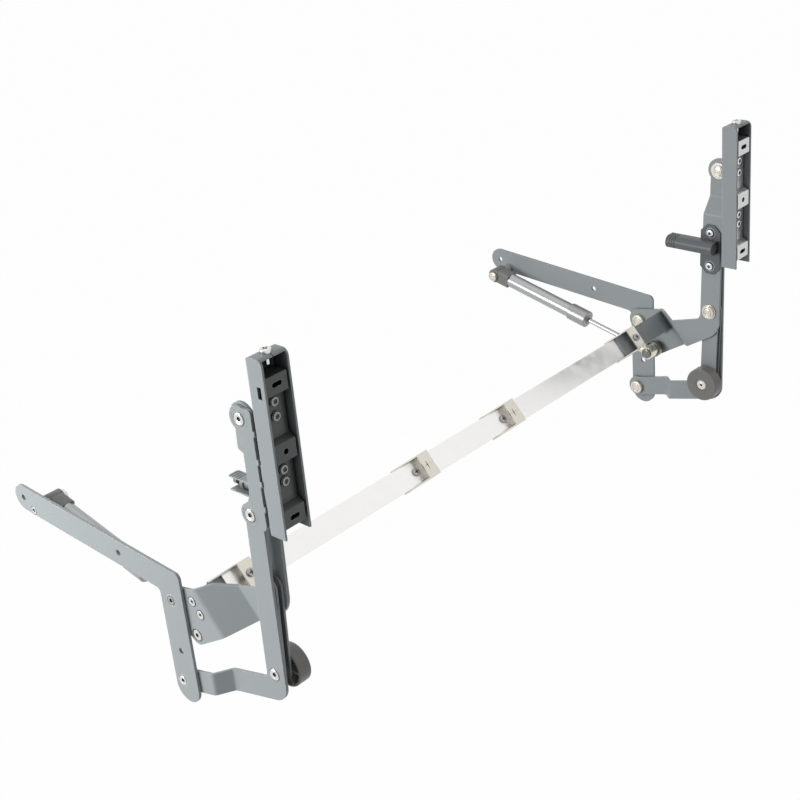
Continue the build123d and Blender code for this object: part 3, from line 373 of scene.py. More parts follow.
@dataclass(frozen=True)
class Plating(Finish):
    """Bright plated or drawn metal: brush lines, small dull patches and fine scratches."""

    grain: Grain = Grain.NONE
    line: float = 0.000012
    patch: float = 0.12
    # Strength of the painted shade in recesses.
    grime: float = 0.7
    reach: float = 0.0035
    # Gain and share of the lighter edges: rubbed metal and a painted highlight.
    shine: float = 1.15
    worn: float = 0.5
    edge: float = 0.0004
    line_waves: Waves = (1500.0, 3.0)
    patch_waves: Waves = (70.0, 4.0)
    scratch_waves: Waves = (420.0, 6.0)

    def sockets(self, graph: Graph) -> dict[int | str, Any]:
        """Values of the shader's sockets.

        Args:
            graph: Graph of the material.

        Returns:
            Values by the name of the socket.
        """
        lines = graph.noise(*self.line_waves, self.grain)
        patches = graph.noise(*self.patch_waves).between(0.35, 0.7)
        scratch = graph.noise(*self.scratch_waves, self.grain).between(0.62, 0.68)
        rounded = graph.rounded(self.edge)
        # Edges drawn lighter: rubbed metal and a painted highlight.
        worn_lit_edge = graph.edge(rounded)
        tone = graph.tinted(self.colour, self.variation, lines * 0.5 + patches * 0.5)
        light = scaled(self.colour, self.shine, 0.03)
        dark = scaled(self.colour, 0.16)
        # Recesses and gaps drawn darker: painted shade.
        tone_with_shade = graph.blend(graph.crevice(self.reach) * self.grime, tone, dark)
        rough = self.roughness + (patches - 0.5) * self.patch + scratch * 0.08 - worn_lit_edge * 0.06
        return {
            "Base Color": graph.blend(worn_lit_edge * self.worn, tone_with_shade, light),
            "Roughness": rough.clamped(),
            "Metallic": self.metallic,
            "Normal": graph.bump(lines * 0.8 + scratch * 0.2, self.line, rounded),
        }


@dataclass(frozen=True)
class MouldedPlastic(Finish):
    """Moulded plastic: spark-eroded grain and slightly polished corners, drawn lighter as a painted
    highlight.
    """

    relief: float = 0.00003
    edge: float = 0.0005
    grain_waves: Waves = (2400.0, 3.0)
    cloud_waves: Waves = (40.0, 3.0)

    def sockets(self, graph: Graph) -> dict[int | str, Any]:
        """Values of the shader's sockets.

        Args:
            graph: Graph of the material.

        Returns:
            Values by the name of the socket.
        """
        grain = graph.noise(*self.grain_waves)
        cloud = graph.noise(*self.cloud_waves)
        rounded = graph.rounded(self.edge)
        # Corners polished, and drawn lighter as a painted highlight.
        polished_lit_corner = graph.edge(rounded)
        tone = graph.tinted(self.colour, self.variation, cloud * 0.6 + grain * 0.4)
        light = scaled(self.colour, 1.4, 0.01)
        return {
            "Base Color": graph.blend(polished_lit_corner * 0.5, tone, light),
            "Roughness": (self.roughness + (grain - 0.5) * 0.12 - polished_lit_corner * 0.1).clamped(),
            "Metallic": self.metallic,
            "Normal": graph.bump(grain, self.relief, rounded),
        }


GREY_COAT = PowderCoat("grey_coat", (0.415, 0.452, 0.462), 0.38, gloss=0.3)
# Grey coat with deep painted shade inside the door channel.
SHADED_CHANNEL_COAT = replace(GREY_COAT, name="channel_coat", dust=1.0, reach=0.03)
# Darker copy of the grey coat: painted shade on the right damper holder.
SHADED_COAT = PowderCoat("dark_coat", (0.170, 0.184, 0.190), 0.34, gloss=0.3)
ZINC = Plating("zinc_plate", (0.74, 0.745, 0.74), 0.32, 0.75, grime=0.8, reach=0.005)
# Shaded copy of the zinc for the left bracket: painted shade with painted edge highlights.
SHADED_ZINC = Plating(
    "dull_zinc", (0.100, 0.104, 0.104), 0.34, 0.5, 0.10, gloss=0.3, reach=0.007, shine=5.0, worn=0.9
)
# Shaded copy of the bright heads for the left bracket's screws, with painted edge highlights.
SHADED_CHROME = Plating("dark_chrome", (0.22, 0.22, 0.22), 0.18, 1.0, grime=0.9, shine=3.5, worn=0.8)
BRIGHT = Plating("bright_zinc", (0.72, 0.72, 0.71), 0.22, 1.0, grime=0.95, reach=0.004)
BAR_STEEL = Plating(
    "bar_steel", (0.96, 0.95, 0.94), 0.34, 0.9, 0.03, grain=Grain.ALONG_X, grime=0.9
)
NICKEL = Plating("satin_nickel", (0.70, 0.665, 0.59), 0.28, 1.0, grime=0.85)
DARK_NICKEL = Plating("dark_nickel", (0.22, 0.215, 0.19), 0.30, 1.0, grime=0.8)
TUBE_PAINT = Plating(
    "tube_lacquer", (0.43, 0.435, 0.445), 0.28, 0.7, 0.03, line=0.000001, patch=0.05
)
SLEEVE_PAINT = replace(
    TUBE_PAINT, name="sleeve_lacquer", colour=(0.38, 0.38, 0.385), roughness=0.32, metallic=0.6
)
POLISHED = Plating(
    "polished_rod", (0.42, 0.42, 0.42), 0.12, 1.0, 0.02, grain=Grain.ALONG_Y, line=4e-6, patch=0.04
)
TURNED = Plating("turned_steel", (0.40, 0.40, 0.40), 0.40, 1.0)
# Black on recess floors, gaps round heads and clamp grooves: painted shade.
SHADE_BLACK = Plating("blackened_steel", (0.045, 0.045, 0.045), 0.45, 0.6)
DARK_PLASTIC = MouldedPlastic("dark_plastic", (0.24, 0.24, 0.235), 0.38)
ROLLER_PLASTIC = MouldedPlastic("roller_plastic", (0.25, 0.247, 0.238), 0.36)
DAMPER_PLASTIC = MouldedPlastic("damper_plastic", (0.20, 0.205, 0.21), 0.34)
WIPER_PLASTIC = MouldedPlastic("wiper_plastic", (0.60, 0.60, 0.60), 0.35)
SEAL_RUBBER = MouldedPlastic("seal_rubber", (0.02, 0.02, 0.02), 0.7)


@dataclass(frozen=True)
class Solid:
    """Corners of one solid of a CAD node, at rest."""

    points: tuple[Vector, ...]

    @property
    def centre(self) -> Vector:
        """Middle of the box round the solid."""
        low = Vector(min(point[axis] for point in self.points) for axis in range(3))
        high = Vector(max(point[axis] for point in self.points) for axis in range(3))
        return (low + high) / 2

    @property
    def inward(self) -> Vector:
        """Direction from the solid's side of the fitting to the middle."""
        return Vector((-math.copysign(1.0, self.centre.x), 0.0, 0.0))

    @property
    def inner(self) -> tuple[Vector, Vector]:
        """Middle of the inner end and the direction out of it."""
        return self.face(self.inward), self.inward

    @property
    def outer(self) -> tuple[Vector, Vector]:
        """Middle of the outer end and the direction out of it."""
        return self.face(-self.inward), -self.inward

    def face(self, direction: Vector, depth: float = 1e-4) -> Vector:
        """Middle of the face that lies furthest in a direction.

        Args:
            direction: Unit vector.
            depth: How far from the furthest corner a corner still counts.

        Returns:
            The middle of the corners on that face.
        """
        reach = max(point.dot(direction) for point in self.points)
        near = [point for point in self.points if point.dot(direction) > reach - depth]
        return sum(near, Vector()) / len(near)


def solids(name: str, weld: float = 1e-5) -> list[Solid]:
    """The separate solids of a CAD node.

    Args:
        name: Name of the node.
        weld: Distance within which corners are the same corner.

    Returns:
        The solids, from left to right.
    """
    mesh = bmesh.new()
    mesh.from_mesh(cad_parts[name].data)
    bmesh.ops.remove_doubles(mesh, verts=mesh.verts[:], dist=weld)
    found = []
    waiting = set(mesh.verts)
    while waiting:
        front = [waiting.pop()]
        points = []
        while front:
            corner = front.pop()
            points.append(corner.co.copy())
            for link in corner.link_edges:
                other = link.other_vert(corner)
                if other in waiting:
                    waiting.discard(other)
                    front.append(other)
        found.append(Solid(tuple(points)))
    mesh.free()
    return sorted(found, key=lambda solid: tuple(round(part, 4) for part in solid.centre))


def broad_normal(name: str) -> Vector:
    """Direction that the largest flat face of a CAD node looks in, towards the front.

    Args:
        name: Name of the node.

    Returns:
        The unit vector.
    """
    areas: dict[tuple[float, ...], float] = {}
    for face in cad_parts[name].data.polygons:
        if face.normal.y < 0:
            key = tuple(round(part, 3) for part in face.normal)
            areas[key] = areas.get(key, 0.0) + face.area
    return Vector(max(areas, key=areas.get)).normalized()


class Drive(Enum):
    """Recess in a screw's head."""

    CROSS = "cross"
    STAR = "star"

    def edge(self, size: float) -> Callable[[float], float]:
        """Outline of the recess.

        Args:
            size: Largest distance from the middle.

        Returns:
            The distance of the outline at an angle in radians.
        """

        def cross(angle: float) -> float:
            """Outline of a cross with arms along the axes."""
            across = max(abs(math.cos(angle)), abs(math.sin(angle)))
            along = max(min(abs(math.cos(angle)), abs(math.sin(angle))), 1e-6)
            return min(size / across, CROSS_ARM * size / along)

        def star(angle: float) -> float:
            """Outline of a star with round lobes."""
            return size * (1 - STAR_LOBE + STAR_LOBE * math.cos(STAR_LOBES * angle))

        return {Drive.CROSS: cross, Drive.STAR: star}[self]


class Turning(Enum):
    """How a turned profile is closed."""

    RING = "the last corner joins the first"
    CAPPED = "a relief on a face, with a face across its first ring"
    OPEN = "a relief on a face, open in the middle"


class Shape:
    """Mesh under construction, in metres in the row frame."""

    def __init__(self) -> None:
        """Starts with no faces."""
        self.mesh = bmesh.new()

    def _rings(self, rings: list[list[Vector]], joined: bool) -> tuple[list[list[Any]], list[Any]]:
        """Joins rings of points with faces.

        Args:
            rings: Rings of equally many points.
            joined: Whether the last ring is joined to the first.

        Returns:
            The corners of each ring, and the faces.
        """
        made = [[self.mesh.verts.new(point) for point in ring] for ring in rings]
        count = len(made[0])
        pairs = list(zip(made, made[1:])) + ([(made[-1], made[0])] if joined else [])
        faces = []
        for first, second in pairs:
            for index in range(count):
                after = (index + 1) % count
                corners = (first[index], second[index], second[after], first[after])
                faces.append(self.mesh.faces.new(corners))
        return made, faces

    def _circle(self, radius: Radius, centre: Vector, axis: Vector, steps: int) -> list[Vector]:
        """Points round an axis.

        Args:
            radius: Distance from the axis, or its outline by angle.
            centre: Middle of the ring.
            axis: Unit vector of the axis.
            steps: Number of points.

        Returns:
            The points.
        """
        across = Vector((0, 0, 1)) if abs(axis.z) < 0.5 else Vector((0, 1, 0))
        across = (across - axis * across.dot(axis)).normalized()
        over = axis.cross(across)
        ring = []
        for step in range(steps):
            angle = math.tau * step / steps
            far = radius(angle) if callable(radius) else radius
            ring.append(centre + (across * math.cos(angle) + over * math.sin(angle)) * far)
        return ring

    def turn(
        self,
        profile: Profile,
        centre: Vector,
        axis: Vector,
        turning: Turning = Turning.RING,
        steps: int = ROUND_STEPS,
    ) -> None:
        """Adds a profile turned about an axis.

        Args:
            profile: Radius and height of each corner, in turn round a ring, or from the middle
                to the rim of a relief.
            centre: Point on the axis at height 0.
            axis: Unit vector of the height.
            turning: How the profile is closed.
            steps: Number of faces round the axis.
        """
        rings = [self._circle(far, centre + axis * high, axis, steps) for far, high in profile]
        made, faces = self._rings(rings, joined=turning is Turning.RING)
        if turning is Turning.RING:
            bmesh.ops.recalc_face_normals(self.mesh, faces=faces)
            return
        if turning is Turning.CAPPED:
            middle = self.mesh.faces.new(made[0])
            middle.normal_update()
            if middle.normal.dot(axis) < 0:
                middle.normal_flip()
        for face in faces:
            face.normal_update()
        if sum((face.normal for face in faces), Vector()).dot(axis) < 0:
            bmesh.ops.reverse_faces(self.mesh, faces=faces)

    def bead(
        self, middle: Vector, along: Vector, length: float, radius: float, lump: float = 0.0
    ) -> None:
        """Adds a straight round bead with tapered ends, such as a weld.

        Args:
            middle: Middle of the bead.
            along: Unit vector of its length.
            length: Its length.
            radius: Its radius.
            lump: Share of the radius by which its ripples swell and shrink.
        """
        rings = []
        for stop in range(BEAD_STOPS + 1):
            taper = math.sin(math.pi * (stop + 0.6) / (BEAD_STOPS + 1.2)) ** 0.4
            wide = radius * taper * (1 + lump * math.sin(2.3 * stop))
            point = middle + along * (length * (stop / BEAD_STOPS - 0.5))
            rings.append(self._circle(wide, point, along, BEAD_STEPS))
        made, faces = self._rings(rings, joined=False)
        faces += [self.mesh.faces.new(made[0]), self.mesh.faces.new(made[-1])]
        bmesh.ops.recalc_face_normals(self.mesh, faces=faces)

    def finish(self, name: str, body: str, finish: Finish, slot: str) -> None:
        """Turns the shape into a piece that rides on a body.

        Args:
            name: Name of the piece.
            body: Body that it rides on.
            finish: Its finish.
            slot: Material slot of the record that it belongs to; not used.
        """
        data = bpy.data.meshes.new(name)
        self.mesh.to_mesh(data)
        self.mesh.free()
        piece = added(name, data)
        data.materials.append(finish.material())
        data.shade_smooth()
        data.set_sharp_from_angle(angle=SHARP_ANGLE)
        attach(piece, body)
        LOG.info("%s: %d faces on %s", name, len(data.polygons), body)


@dataclass(frozen=True)
class ScrewHead:
    """Visible face of a screw's head, with its drive recess."""

    radius: float
    recess: float
    drive: Drive = Drive.STAR
    dome: float = 0.0006
    edge: float = 0.0003
    floor: float = 0.00008

    def add(self, face: Shape, recess: Shape, centre: Vector, axis: Vector) -> None:
        """Adds the face and the floor of its recess to two shapes.

        Args:
            face: Shape that takes the face.
            recess: Shape that takes the floor of the recess, drawn black as painted shade.
            centre: Middle of the head's flat face.
            axis: Unit vector out of the head.
        """
        profile: Profile = [
            (self.drive.edge(self.recess), self.floor),
            (self.drive.edge(self.recess), self.dome * 0.85),
            (self.drive.edge(self.recess * 1.08), self.dome),
            (self.radius * 0.80, self.dome * 0.95),
            (self.radius * 0.93, self.dome * 0.6),
            (self.radius, self.dome * 0.1),
            (self.radius, -self.edge),
        ]
        floor: Profile = [(self.recess * 0.2, self.floor), (self.recess * 1.05, self.floor)]
        face.turn(profile, centre, axis, Turning.OPEN)
        recess.turn(floor, centre, axis, Turning.CAPPED)


@dataclass(frozen=True)
class HollowHead:
    """Outer head of a pin: a raised ring that slopes to the dark hollow in its middle."""

    outer: float
    hollow: float
    rise: float = 0.0007
    depth: float = 0.0010
    groove: float = 0.0005
    slope: float = 0.45
    lip: float = 0.0003
    chamfer: float = 0.0007

    def add(self, face: Shape, recess: Shape, centre: Vector, axis: Vector) -> None:
        """Adds the ring and the floor of the hollow to two shapes.

        Args:
            face: Shape that takes the ring.
            recess: Shape that takes the hollow's floor and the line round the head, both drawn
                black as painted shade.
            centre: Middle of the pin's flat end.
            axis: Unit vector out of the pin.
        """
        slope = self.hollow + (self.outer - self.hollow) * self.slope
        profile: Profile = [
            (self.hollow, self.rise * 0.1),
            (slope, self.rise * 0.75),
            (slope + self.lip, self.rise),
            (self.outer - self.chamfer, self.rise),
            (self.outer, self.rise * 0.3),
            (self.outer, -self.rise),
            (self.hollow, -self.rise),
        ]
        floor: Profile = [
            (self.hollow * 0.3, -self.depth),
            (self.hollow, -self.depth * 0.8),
            (self.hollow, 0.0),
        ]
        # Thin ring round the head, in the recess shape and drawn black: painted shade in the gap.
        rim, crest = self.outer + self.groove, self.rise * 0.16
        line = [(self.outer, -self.rise), (self.outer, crest), (rim, crest), (rim, -self.rise)]
        face.turn(profile, centre, axis)
        recess.turn(floor, centre, axis, Turning.CAPPED)
        recess.turn(line, centre, axis)


@dataclass(frozen=True)
class TurnedForm:
    """Small form turned about an axis, such as a ring on a face."""

    turning: ClassVar[Turning] = Turning.RING

    @property
    def profile(self) -> Profile:
        """Radius and height of each corner; each kind of form gives its own."""
        raise NotImplementedError

    def add(self, shape: Shape, centre: Vector, axis: Vector) -> None:
        """Adds the form to a shape, on a face with this middle and outward axis."""
        shape.turn(self.profile, centre, axis, self.turning)


@dataclass(frozen=True)
class PeenedEnd(TurnedForm):
    """Riveted-over end of a pin: a raised rim, a groove and a low dome in the middle."""

    turning: ClassVar[Turning] = Turning.CAPPED
    outer: float
    dome: float
    rise: float = 0.0006
    groove: float = 0.0009
    step: float = 0.0001
    chamfer: float = 0.0005

    @property
    def profile(self) -> Profile:
        """Dome, groove and rim, from the middle outwards."""
        return [
            (self.dome * 0.25, self.rise),
            (self.dome * 0.7, self.rise * 0.92),
            (self.dome, self.rise * 0.55),
            (self.dome + self.step, self.rise * 0.1),
            (self.dome + self.groove, self.rise * 0.1),
            (self.dome + self.groove + self.step, self.rise * 0.8),
            (self.outer - self.chamfer, self.rise * 0.8),
            (self.outer, self.rise * 0.3),
            (self.outer, -self.rise * 0.5),
        ]


@dataclass(frozen=True)
class NutRing(TurnedForm):
    """Ring of a flange nut round the end of a pin."""

    inner: float
    outer: float
    height: float
    root: float = 0.0004
    bevel: float = 0.0004
    bevel_depth: float = 0.0003
    chamfer: float = 0.0005

    @property
    def profile(self) -> Profile:
        """Section of the nut, whose outer face is level with the pin's end."""
        base = -self.height - self.root
        return [
            (self.inner, base),
            (self.inner, -self.bevel_depth),
            (self.inner + self.bevel, 0.0),
            (self.outer - self.chamfer, 0.0),
            (self.outer, -self.chamfer),
            (self.outer, base),
        ]


@dataclass(frozen=True)
class WiperLip(TurnedForm):
    """Wiper ring that stands out of the sleeve round the gas spring's rod."""

    inner: float
    outer: float
    height: float
    root: float = 0.001
    bevel: float = 0.0005

    @property
    def profile(self) -> Profile:
        """Section of the lip."""
        return [
            (self.inner, -self.root),
            (self.inner, self.height * 0.6),
            (self.inner + self.bevel, self.height),
            (self.outer, self.height * 0.3),
            (self.outer, -self.root),
        ]


@dataclass(frozen=True)
class EmbossedRing(TurnedForm):
    """Low ring pressed in the sheet round a pin or a screw."""

    radius: float
    width: float = 0.0008
    rise: float = 0.00025

    @property
    def profile(self) -> Profile:
        """Section of the ring."""
        return [
            (self.radius, -self.rise),
            (self.radius, self.rise * 0.4),
            (self.radius + self.width * 0.35, self.rise),
            (self.radius + self.width * 0.65, self.rise),
            (self.radius + self.width, 0.0),
            (self.radius + self.width, -self.rise),
        ]


@dataclass
class Assembly:
    """One side's part of the fitting, with what its pieces need in common."""

    side: Side

    def dress(self, finish: Finish, *stems: str) -> None:
        """Puts a finish on CAD nodes of this side, by their names without the side."""
        finish.dress(*(f"{stem}_{self.side.word}" for stem in stems))

    def own(self, name: str) -> list[Solid]:
        """Solids of a node that lie on this side."""
        return [solid for solid in solids(name) if solid.centre.x * self.side.value > 0]

    def cover(
        self,
        name: str,
        form: ScrewHead | HollowHead | TurnedForm,
        *shapes: Shape,
        inner: bool = False,
    ) -> None:
        """Covers the outer or inner end of each of a node's solids on this side with a form."""
        for solid in self.own(name):
            form.add(*shapes, *(solid.inner if inner else solid.outer))

    def finish(self, body: str, *pieces: tuple[Shape, str, Finish, str]) -> None:
        """Makes pieces on a body from shapes, each with its stem, finish and material slot."""
        for shape, stem, finish, slot in pieces:
            shape.finish(f"{stem}_{self.side.word}", body, finish, slot)


@dataclass
class WallMount(Assembly):
    """Wall plate with its two pivot pins and the rivet of the gas spring's stud."""

    nut: PeenedEnd = PeenedEnd(0.0074, 0.0042)
    painted_head: HollowHead = HollowHead(0.0044, 0.0021, 0.0003)
    lower_head: HollowHead = HollowHead(0.0052, 0.0020)
    rivet_head: HollowHead = HollowHead(0.0044, 0.0018, 0.0004)
    painted_ring: EmbossedRing = EmbossedRing(0.0052, 0.0008)

    def build(self) -> None:
        """Dresses the plate and adds the ends of its pins."""
        self.dress(GREY_COAT, "base_plate")
        nuts, painted, bright, dark = Shape(), Shape(), Shape(), Shape()
        self.cover("upper_pivot_pins", self.nut, nuts, inner=True)
        self.cover("lower_pivot_pins", self.nut, nuts, inner=True)
        self.cover("upper_pivot_pins", self.painted_head, painted, dark)
        self.cover("upper_pivot_pins", self.painted_ring, painted)
        self.cover("lower_pivot_pins", self.lower_head, bright, dark)
        self.cover("rear_rivets", self.rivet_head, bright, dark)
        self.finish(
            "root",
            (nuts, "pivot_nut_faces", NICKEL, "nickel"),
            (painted, "upper_pivot_head", GREY_COAT, "grey_coat"),
            (bright, "plate_pin_heads", BRIGHT, "nickel"),
            (dark, "plate_pin_hollows", SHADE_BLACK, "nickel"),
        )


@dataclass
class UpperArm(Assembly):
    """Upper arm with its rivets, its two fixed pins and the front stud of the gas spring."""

    rivet: HollowHead = HollowHead(0.0046, 0.0015, 0.0005, 0.0003)
    pan_head: ScrewHead = ScrewHead(0.0044, 0.0020, Drive.STAR, 0.0008)
    tie_ring: NutRing = NutRing(0.0051, 0.0074, 0.0026)
    top_ring: NutRing = NutRing(0.0051, 0.0066, 0.0008)
    pin_end: PeenedEnd = PeenedEnd(0.0049, 0.0030, 0.0004, 0.0005)
    top_head: HollowHead = HollowHead(0.0058, 0.0021)
    dimple: EmbossedRing = EmbossedRing(0.0052, 0.0014, 0.0003)
    dimple_depth: float = 0.0018
    hollow_reach: float = 0.005

    def build(self) -> None:
        """Dresses the arm and adds the faces of its rivets, nuts and screws."""
        self.dress(GREY_COAT, "upper_arm")
        screws, rivets, dimples, dark = Shape(), Shape(), Shape(), Shape()
        deepest = max(abs(solid.inner[0].x) for solid in self.own("arm_screws"))
        for solid in self.own("arm_screws"):
            end, out = solid.inner
            if abs(end.x) > deepest - self.hollow_reach:
                self.rivet.add(rivets, dark, *solid.outer)
            else:
                self.dimple.add(dimples, end - out * self.dimple_depth, out)
            self.pan_head.add(screws, dark, end, out)
        self.finish(
            "lift",
            (screws, "arm_screw_faces", BRIGHT, "nickel"),
            (rivets, "arm_rivet_faces", BRIGHT, "nickel"),
            (dimples, "arm_dimples", GREY_COAT, "grey_coat"),
            (dark, "arm_screw_recesses", SHADE_BLACK, "nickel"),
        )
        self.pins()

    def pins(self) -> None:
        """Adds the nuts and heads of the tie pin and the top pin."""
        nuts, heads, dark = Shape(), Shape(), Shape()
        for node, nut in (("tie_pins", self.tie_ring), ("top_pins", self.top_ring)):
            self.cover(node, nut, nuts, inner=True)
            self.cover(node, self.pin_end, nuts, inner=True)
        self.cover("top_pins", self.top_head, heads, dark)
        self.finish(
            "lift",
            (nuts, "arm_nut_faces", NICKEL, "nickel"),
            (heads, "top_pin_head", BRIGHT, "nickel"),
            (dark, "top_pin_hollow", SHADE_BLACK, "nickel"),
        )


@dataclass
class LowerArm(Assembly):
    """Lower arm with the roller's axle in it, the tie link and the roller."""

    axle_face: ScrewHead = ScrewHead(0.0040, 0.0021, Drive.STAR, 0.0005)
    axle_head: HollowHead = HollowHead(0.0058, 0.0021)
    roller_ring: EmbossedRing = EmbossedRing(0.0082, 0.0012, 0.0003)
    parting_half: float = 0.0004
    parting_rise: float = 0.00012
    parting_steps: int = 96

    def build(self) -> None:
        """Dresses the arm, the link and the roller, and adds the axle's faces."""
        word = self.side.word
        self.dress(GREY_COAT, "lower_arm", "tie_link")
        self.dress(NICKEL, "roller_axle")
        self.dress(ROLLER_PLASTIC, "roller")
        axle = f"roller_axle_{word}"
        faces, dark = Shape(), Shape()
        self.cover(axle, self.axle_face, faces, dark, inner=True)
        self.cover(axle, self.axle_head, faces, dark)
        self.finish(
            f"lower_arm_{word}",
            (faces, "roller_axle_faces", BRIGHT, "nickel"),
            (dark, "roller_axle_recesses", SHADE_BLACK, "nickel"),
        )
        self.mould_marks()

    def mould_marks(self) -> None:
        """Adds the ring moulded round the roller's hub and the line where its mould parted."""
        name = f"roller_{self.side.word}"
        roller = self.own(name)[0]
        low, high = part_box(name)
        radius = (high.z - low.z) / 2
        marks = Shape()
        self.roller_ring.add(marks, *roller.inner)
        half, crest = self.parting_half, radius + self.parting_rise
        profile: Profile = [(radius - half, -half), (crest, 0.0), (radius - half, half)]
        marks.turn(profile, roller.centre, roller.inward, steps=self.parting_steps)
        self.finish(name, (marks, "roller_marks", ROLLER_PLASTIC, "roller_plastic"))


@dataclass
class DoorSide(Assembly):
    """Ear plate, door channel and door bracket, with their pins, screws and welds."""

    bracket_screw: ScrewHead = ScrewHead(0.0042, 0.0026, Drive.STAR, 0.0005)
    collar: EmbossedRing = EmbossedRing(0.0044, 0.0008, 0.0009)
    collar_depth: float = 0.0016
    top_screw: ScrewHead = ScrewHead(0.0049, 0.0030, Drive.CROSS, 0.0006)
    ear_head: HollowHead = HollowHead(0.0058, 0.0021)
    ear_end: PeenedEnd = PeenedEnd(0.0062, 0.0034, 0.0004, 0.0006)
    boss: EmbossedRing = EmbossedRing(0.0086, 0.0009, 0.0002)
    weld_drops: tuple[float, ...] = (0.010, 0.036, 0.057, 0.081)
    weld_length: float = 0.0052
    weld_radius: float = 0.0010
    weld_lump: float = 0.18
    weld_proud: float = 0.0002
    weld_gap: float = 0.0005

    def build(self) -> None:
        """Dresses the door side and adds its fastenings."""
        self.dress(GREY_COAT, "ear_plate")
        # The channel's inside is darkened with painted shade.
        self.dress(SHADED_CHANNEL_COAT, "door_channel")
        # The left bracket and its screw heads take shaded copies of the zinc finishes: painted
        # shade.
        plating, heads = (SHADED_ZINC, SHADED_CHROME) if self.side is Side.LEFT else (ZINC, BRIGHT)
        self.dress(plating, "door_bracket")
        self.dress(BRIGHT, "channel_screws")
        self.dress(NICKEL, "ear_pin")
        faces, tops, collars, dark = Shape(), Shape(), Shape(), Shape()
        own_screws = self.own(f"channel_screws_{self.side.word}")
        screws = sorted(own_screws, key=lambda solid: solid.centre.z)
        up, forward = Vector((0, 0, 1)), Vector((0, -1, 0))
        self.top_screw.add(tops, dark, screws[-1].face(up), up)
        for solid in screws[:-1]:
            end = solid.face(forward)
            self.bracket_screw.add(faces, dark, end, forward)
            self.collar.add(collars, end - forward * self.collar_depth, forward)
        self.finish(
            self.body,
            (faces, "bracket_screw_faces", heads, "zinc_plate"),
            (tops, "top_screw_face", BRIGHT, "zinc_plate"),
            (collars, "bracket_collars", plating, "zinc_plate"),
            (dark, "bracket_screw_recesses", SHADE_BLACK, "zinc_plate"),
        )
        self.pin_faces()
        self.welds()

    @property
    def body(self) -> str:
        """Body that the door side rides on."""
        return f"door_side_{self.side.word}"

    @property
    def outer_face(self) -> float:
        """X of the ear plate's outer face."""
        low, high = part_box(f"ear_plate_{self.side.word}")
        return low.x if self.side is Side.LEFT else high.x

    def pin_faces(self) -> None:
        """Adds the faces of the lower pin and the ring pressed round each pin."""
        pin = self.own(f"ear_pin_{self.side.word}")[0]
        heads, ends, rings, dark = Shape(), Shape(), Shape(), Shape()
        self.ear_head.add(heads, dark, *pin.outer)
        self.ear_end.add(ends, *pin.inner)
        for centre in (pin.centre, self.own("top_pins")[0].centre):
            self.boss.add(rings, Vector((self.outer_face, centre.y, centre.z)), -pin.inward)
        self.finish(
            self.body,
            (heads, "ear_pin_head", BRIGHT, "nickel"),
            (ends, "ear_pin_end", NICKEL, "nickel"),
            (dark, "ear_pin_hollow", SHADE_BLACK, "nickel"),
            (rings, "ear_plate_rings", GREY_COAT, "grey_coat"),
        )

    def welds(self) -> None:
        """Adds a weld bead on each tab between the ear plate and the channel."""
        across = self.outer_face - self.side.value * self.weld_proud
        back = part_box(f"door_channel_{self.side.word}")[1].y + self.weld_gap
        pivot = self.own("top_pins")[0].centre.z
        up = Vector((0, 0, 1))
        beads = Shape()
        for drop in self.weld_drops:
            middle = Vector((across, back, pivot - drop))
            beads.bead(middle, up, self.weld_length, self.weld_radius, self.weld_lump)
        self.finish(self.body, (beads, "tab_welds", GREY_COAT, "grey_coat"))


@dataclass
class GasSpring(Assembly):
    """Gas spring with its two connectors, from the stud on the wall plate to the arm's."""

    wiper: WiperLip = WiperLip(0.0032, 0.0056, 0.0007)
    rear_nut: PeenedEnd = PeenedEnd(0.0058, 0.0034, 0.0006)
    cap: PeenedEnd = PeenedEnd(0.0058, 0.0036, 0.0006)
    rivet: HollowHead = HollowHead(0.0056, 0.0020, 0.00005)

    def build(self) -> None:
        """Dresses the spring and adds its seal, rings and stud faces."""
        word = self.side.word
        self.dress(TUBE_PAINT, "spring_tube")
        self.dress(SLEEVE_PAINT, "end_sleeve")
        self.dress(DARK_PLASTIC, "rear_fitting")
        self.dress(TURNED, "piston")
        self.dress(POLISHED, "spring_rod")
        self.dress(SEAL_RUBBER, "seal_guide")
        self.dress(NICKEL, "rear_stud", "front_fitting")
        body = f"spring_cylinder_{word}"
        nut, caps, heads, dark, lip = Shape(), Shape(), Shape(), Shape(), Shape()
        self.cover(f"rear_stud_{word}", self.rear_nut, nut, inner=True)
        self.cover("front_studs", self.cap, caps, inner=True)
        self.cover("front_studs", self.rivet, heads, dark)
        along = self.direction()
        self.wiper.add(lip, self.own(f"end_sleeve_{word}")[0].face(along), along)
        self.finish(body, (nut, "rear_nut_face", NICKEL, "nickel"))
        self.finish(
            "lift",
            (caps, "front_stud_cap", DARK_NICKEL, "nickel"),
            (heads, "front_stud_head", BRIGHT, "nickel"),
            (dark, "front_stud_hollow", SHADE_BLACK, "nickel"),
        )
        self.finish(body, (lip, "wiper_seal", WIPER_PLASTIC, "seal_rubber"))

    def direction(self) -> Vector:
        """Unit vector along the spring, from its rear stud to its front one."""
        rear = self.own(f"rear_stud_{self.side.word}")[0].centre
        line = self.own("front_studs")[0].centre - rear
        return Vector((0, line.y, line.z)).normalized()


@dataclass
class Damper(Assembly):
    """Folded holder on the upper arm with the door's damper in it."""

    button: PeenedEnd = PeenedEnd(0.0039, 0.0020, 0.0005, 0.0004)

    def build(self) -> None:
        """Dresses the holder, the cylinder and the plunger."""
        # The right holder takes the darker coat: painted shade.
        coat = GREY_COAT if self.side is Side.LEFT else SHADED_COAT
        self.dress(coat, "damper_holder")
        self.dress(DAMPER_PLASTIC, "damper_cylinder")
        self.dress(DARK_PLASTIC, "damper_plunger")
        body = f"damper_plunger_{self.side.word}"
        back = Vector((0, 1, 0))
        faces = Shape()
        self.button.add(faces, self.own(body)[0].face(back), back)
        self.finish(body, (faces, "damper_button", DARK_PLASTIC, "dark_plastic"))


